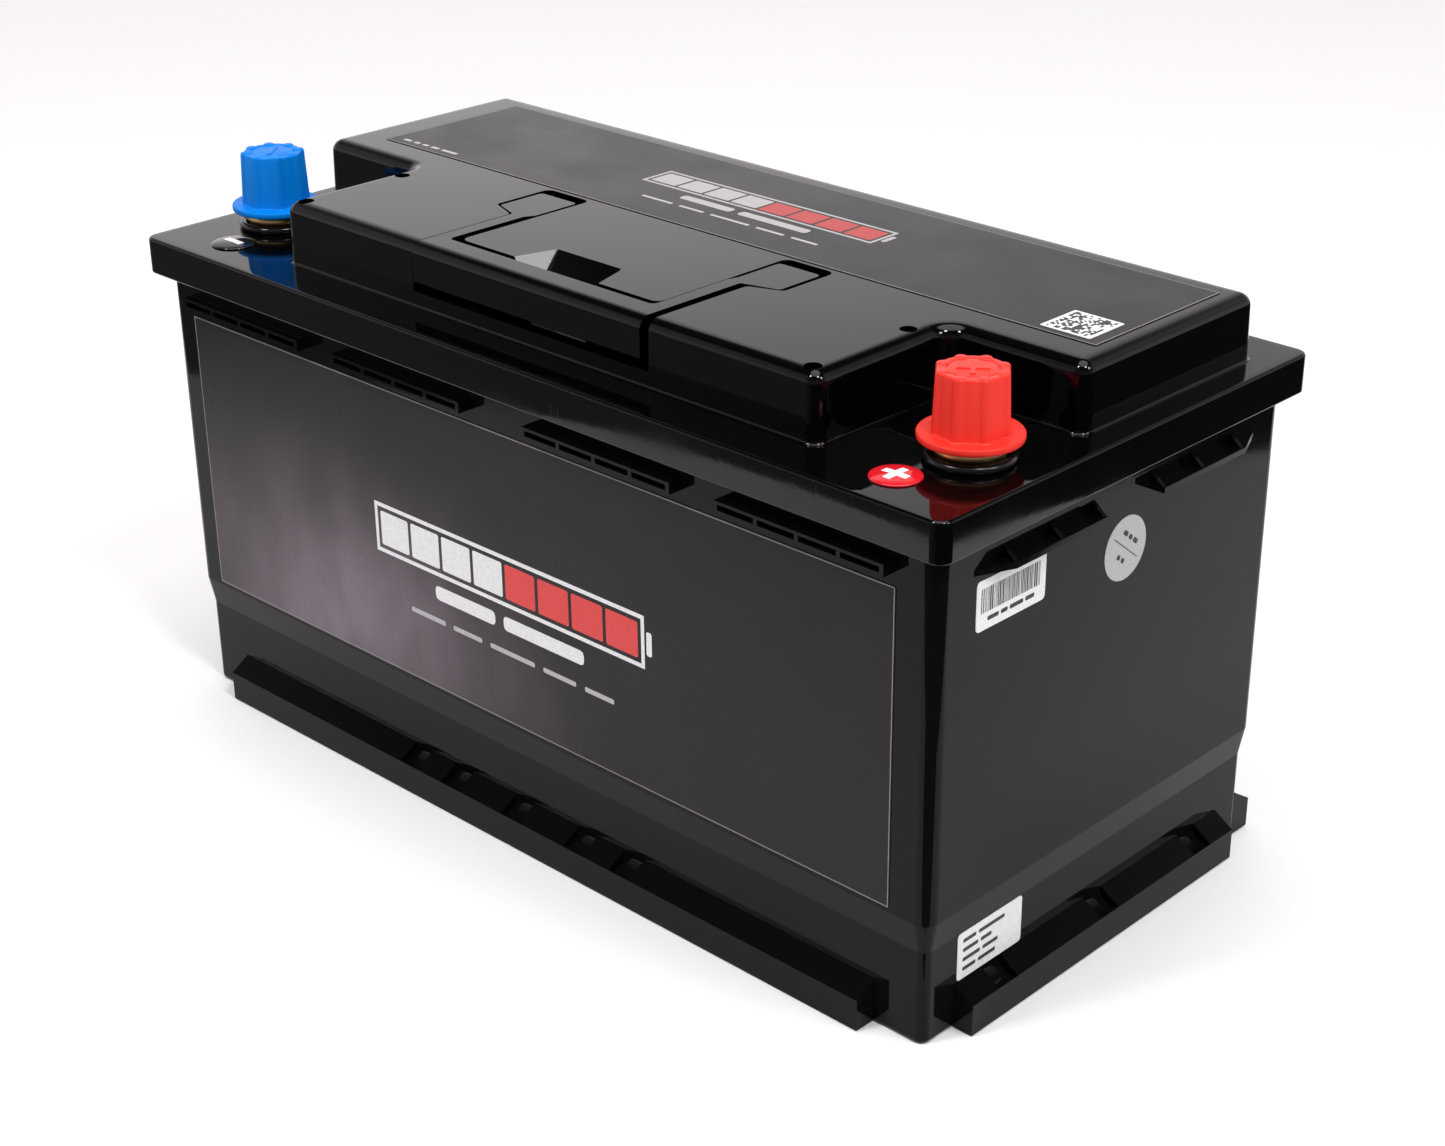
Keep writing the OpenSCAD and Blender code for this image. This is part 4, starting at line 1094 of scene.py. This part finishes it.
def badge_material(name, centre, plus, colour):
    """Gel dome over a printed sign: the sign is a mask on the badge's own plane."""
    material, tree, shader = surface(name + "_gel", Roughness=0.05)
    parts = tree.nodes.new("ShaderNodeSeparateXYZ")
    feed(tree, parts.inputs[0], place_of(tree))
    across = calc(tree, "ABSOLUTE", calc(tree, "SUBTRACT", parts.outputs[0], centre[0] * MM))
    along = calc(tree, "ABSOLUTE", calc(tree, "SUBTRACT", parts.outputs[1], centre[1] * MM))
    reach = 0.0042
    width = 0.0012
    mask = calc(tree, "MULTIPLY", calc(tree, "LESS_THAN", across, reach),
                calc(tree, "LESS_THAN", along, width))
    if plus:
        upright = calc(tree, "MULTIPLY", calc(tree, "LESS_THAN", across, width),
                       calc(tree, "LESS_THAN", along, reach))
        mask = calc(tree, "MAXIMUM", mask, upright)
    uneven = mix(tree, noise(tree, 300, 3), colour, [c * 0.8 for c in colour[:3]] + [1])
    feed(tree, shader.inputs["Base Color"], mix(tree, mask, uneven, (0.82, 0.82, 0.82, 1)))
    return material


# ---- Set ----

def ground(name, corners, height, material):
    """Flat stage sheet under the battery; corners and height are in metres."""
    bm = bmesh.new()
    bm.faces.new([bm.verts.new((x, y, height)) for x, y in corners])
    mesh = bpy.data.meshes.new(name)
    bm.to_mesh(mesh)
    bm.free()
    sheet = to_object(mesh, name)
    sheet.data.materials.append(material)
    return sheet


def make_floor():
    """Wide paper floor, and on it a round sheet that stands in for it in reflections."""
    material, tree, shader = surface("floor_paper", Roughness=0.7)
    feed(tree, shader.inputs["Base Color"],
         mix(tree, noise(tree, 3, 3), (0.90, 0.90, 0.90, 1), (0.88, 0.88, 0.885, 1)))
    reach = 60.0
    square = [(-reach, -reach), (reach, -reach), (reach, reach), (-reach, reach)]
    floor = ground("floor", square, -0.0004, material)
    floor.visible_glossy = False
    x, y = TABLE_CENTRE
    rim = [(x + TABLE_RADIUS * math.cos(a), y + TABLE_RADIUS * math.sin(a))
           for a in [math.radians(k) for k in range(TABLE_ARC[0], TABLE_ARC[1] + 1, 2)]]
    table = ground("table", rim + [TABLE_NOTCH], 0.0, material)
    table.visible_camera = False
    table.visible_diffuse = False
    table.visible_shadow = False


def make_world():
    """Studio by the direction looked in.

    It is dark below the horizon. Above it stands a wall, bright behind the battery and dimmer
    towards the right; then come a dark ring and a bright ceiling.
    """
    world = bpy.data.worlds.new("studio")
    world.use_nodes = True
    bpy.context.scene.world = world
    tree = world.node_tree
    background = tree.nodes["Background"]
    way = tree.nodes.new("ShaderNodeTexCoord").outputs["Generated"]
    parts = tree.nodes.new("ShaderNodeSeparateXYZ")
    feed(tree, parts.inputs[0], way)
    across, along, height = parts.outputs
    facing = calc(tree, "SUBTRACT", calc(tree, "MULTIPLY", across, 0.67),
                  calc(tree, "MULTIPLY", along, 0.74))
    side = remap(tree, facing, -0.75, 0.6, 1.0, 0.2)
    wall = calc(tree, "MULTIPLY", remap(tree, height, 0.25, 0.37, 1.42, 0.89), side)
    wall = calc(tree, "MULTIPLY", wall, remap(tree, height, 0.54, 0.68, 1.0, 0.06))
    wall = calc(tree, "MULTIPLY", wall, remap(tree, across, -0.68, -0.50, 1.0, 0.85))
    below = remap(tree, across, -0.4, 0.4, 0.17, 0.03)
    ceiling = remap(tree, height, 0.84, 0.92, 0.0, 2.9)
    low_part = remap(tree, height, -0.02, 0.0, below, wall)
    feed(tree, background.inputs["Color"], (1.0, 0.955, 0.97, 1))
    feed(tree, background.inputs["Strength"], calc(tree, "ADD", low_part, ceiling))


def add_light(name, place, aim, size, power):
    """Soft box at a place in metres, turned to the point it lights."""
    data = bpy.data.lights.new(name, "AREA")
    data.shape = "RECTANGLE"
    data.size = size[0]
    data.size_y = size[1]
    data.energy = power
    lamp = bpy.data.objects.new(name, data)
    bpy.context.scene.collection.objects.link(lamp)
    lamp.location = place
    lamp.rotation_euler = (Vector(aim) - Vector(place)).to_track_quat("-Z", "Y").to_euler()


def make_camera():
    """Camera at the photograph's viewing angle."""
    data = bpy.data.cameras.new("camera")
    data.lens = CAMERA_LENS
    data.sensor_width = 36.0
    data.shift_x, data.shift_y = CAMERA_SHIFT
    data.clip_start = 0.05
    camera = bpy.data.objects.new("camera", data)
    bpy.context.scene.collection.objects.link(camera)
    aim = Euler((math.radians(90 - CAMERA_ELEVATION), 0, math.radians(CAMERA_AZIMUTH)))
    roll = Matrix.Rotation(math.radians(CAMERA_ROLL), 4, "Z")
    camera.matrix_world = Matrix.Translation(CAMERA_EYE) @ aim.to_matrix().to_4x4() @ roll
    bpy.context.scene.camera = camera


def make_set():
    """Floor, world and three soft boxes."""
    make_floor()
    make_world()
    add_light("front_left_box", (-0.25, -0.95, 1.45), (0, 0, 0.1), (0.26, 0.26), 9)
    add_light("front_right_box", (0.95, -0.25, 1.45), (0, 0, 0.1), (0.26, 0.26), 9)
    add_light("right_box", (1.26, 0.22, 1.14), (0, 0, 0.15), (0.38, 0.32), 6)
    bpy.context.scene.view_settings.view_transform = "Standard"


def show_cad_nodes(frame, materials):
    """Gives every CAD node that is shown as it is its material."""
    for name, material in CAD_MATERIALS.items():
        shown = frame["nodes"][name].data
        shown.materials.clear()
        shown.materials.append(materials[material])


def main():
    """Builds the whole scene."""
    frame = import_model()
    make_camera()
    materials = make_materials()
    make_tub(materials)
    make_lid(materials)
    make_handle(materials)
    make_cap("red_cap", "positive_cap", POSITIVE_FOOT, True, materials["red"], "cap_red")
    make_cap("blue_cap", "negative_cap", NEGATIVE_FOOT, False, materials["blue"], "cap_blue")
    make_post("positive_post", POSITIVE_FOOT, materials)
    make_post("negative_post", NEGATIVE_FOOT, materials)
    make_seal("positive_seal", materials)
    make_seal("negative_seal", materials)
    make_front_label(materials)
    make_top_label(materials)
    make_code_sticker(materials)
    make_barcode(materials)
    make_rating(materials)
    make_round_sticker(materials)
    make_badge("plus_sticker", True, (0.68, 0.012, 0.022, 1), "sticker_red")
    make_badge("minus_sticker", False, (0.008, 0.008, 0.008, 1), "sticker_black")
    show_cad_nodes(frame, materials)
    make_set()


main()
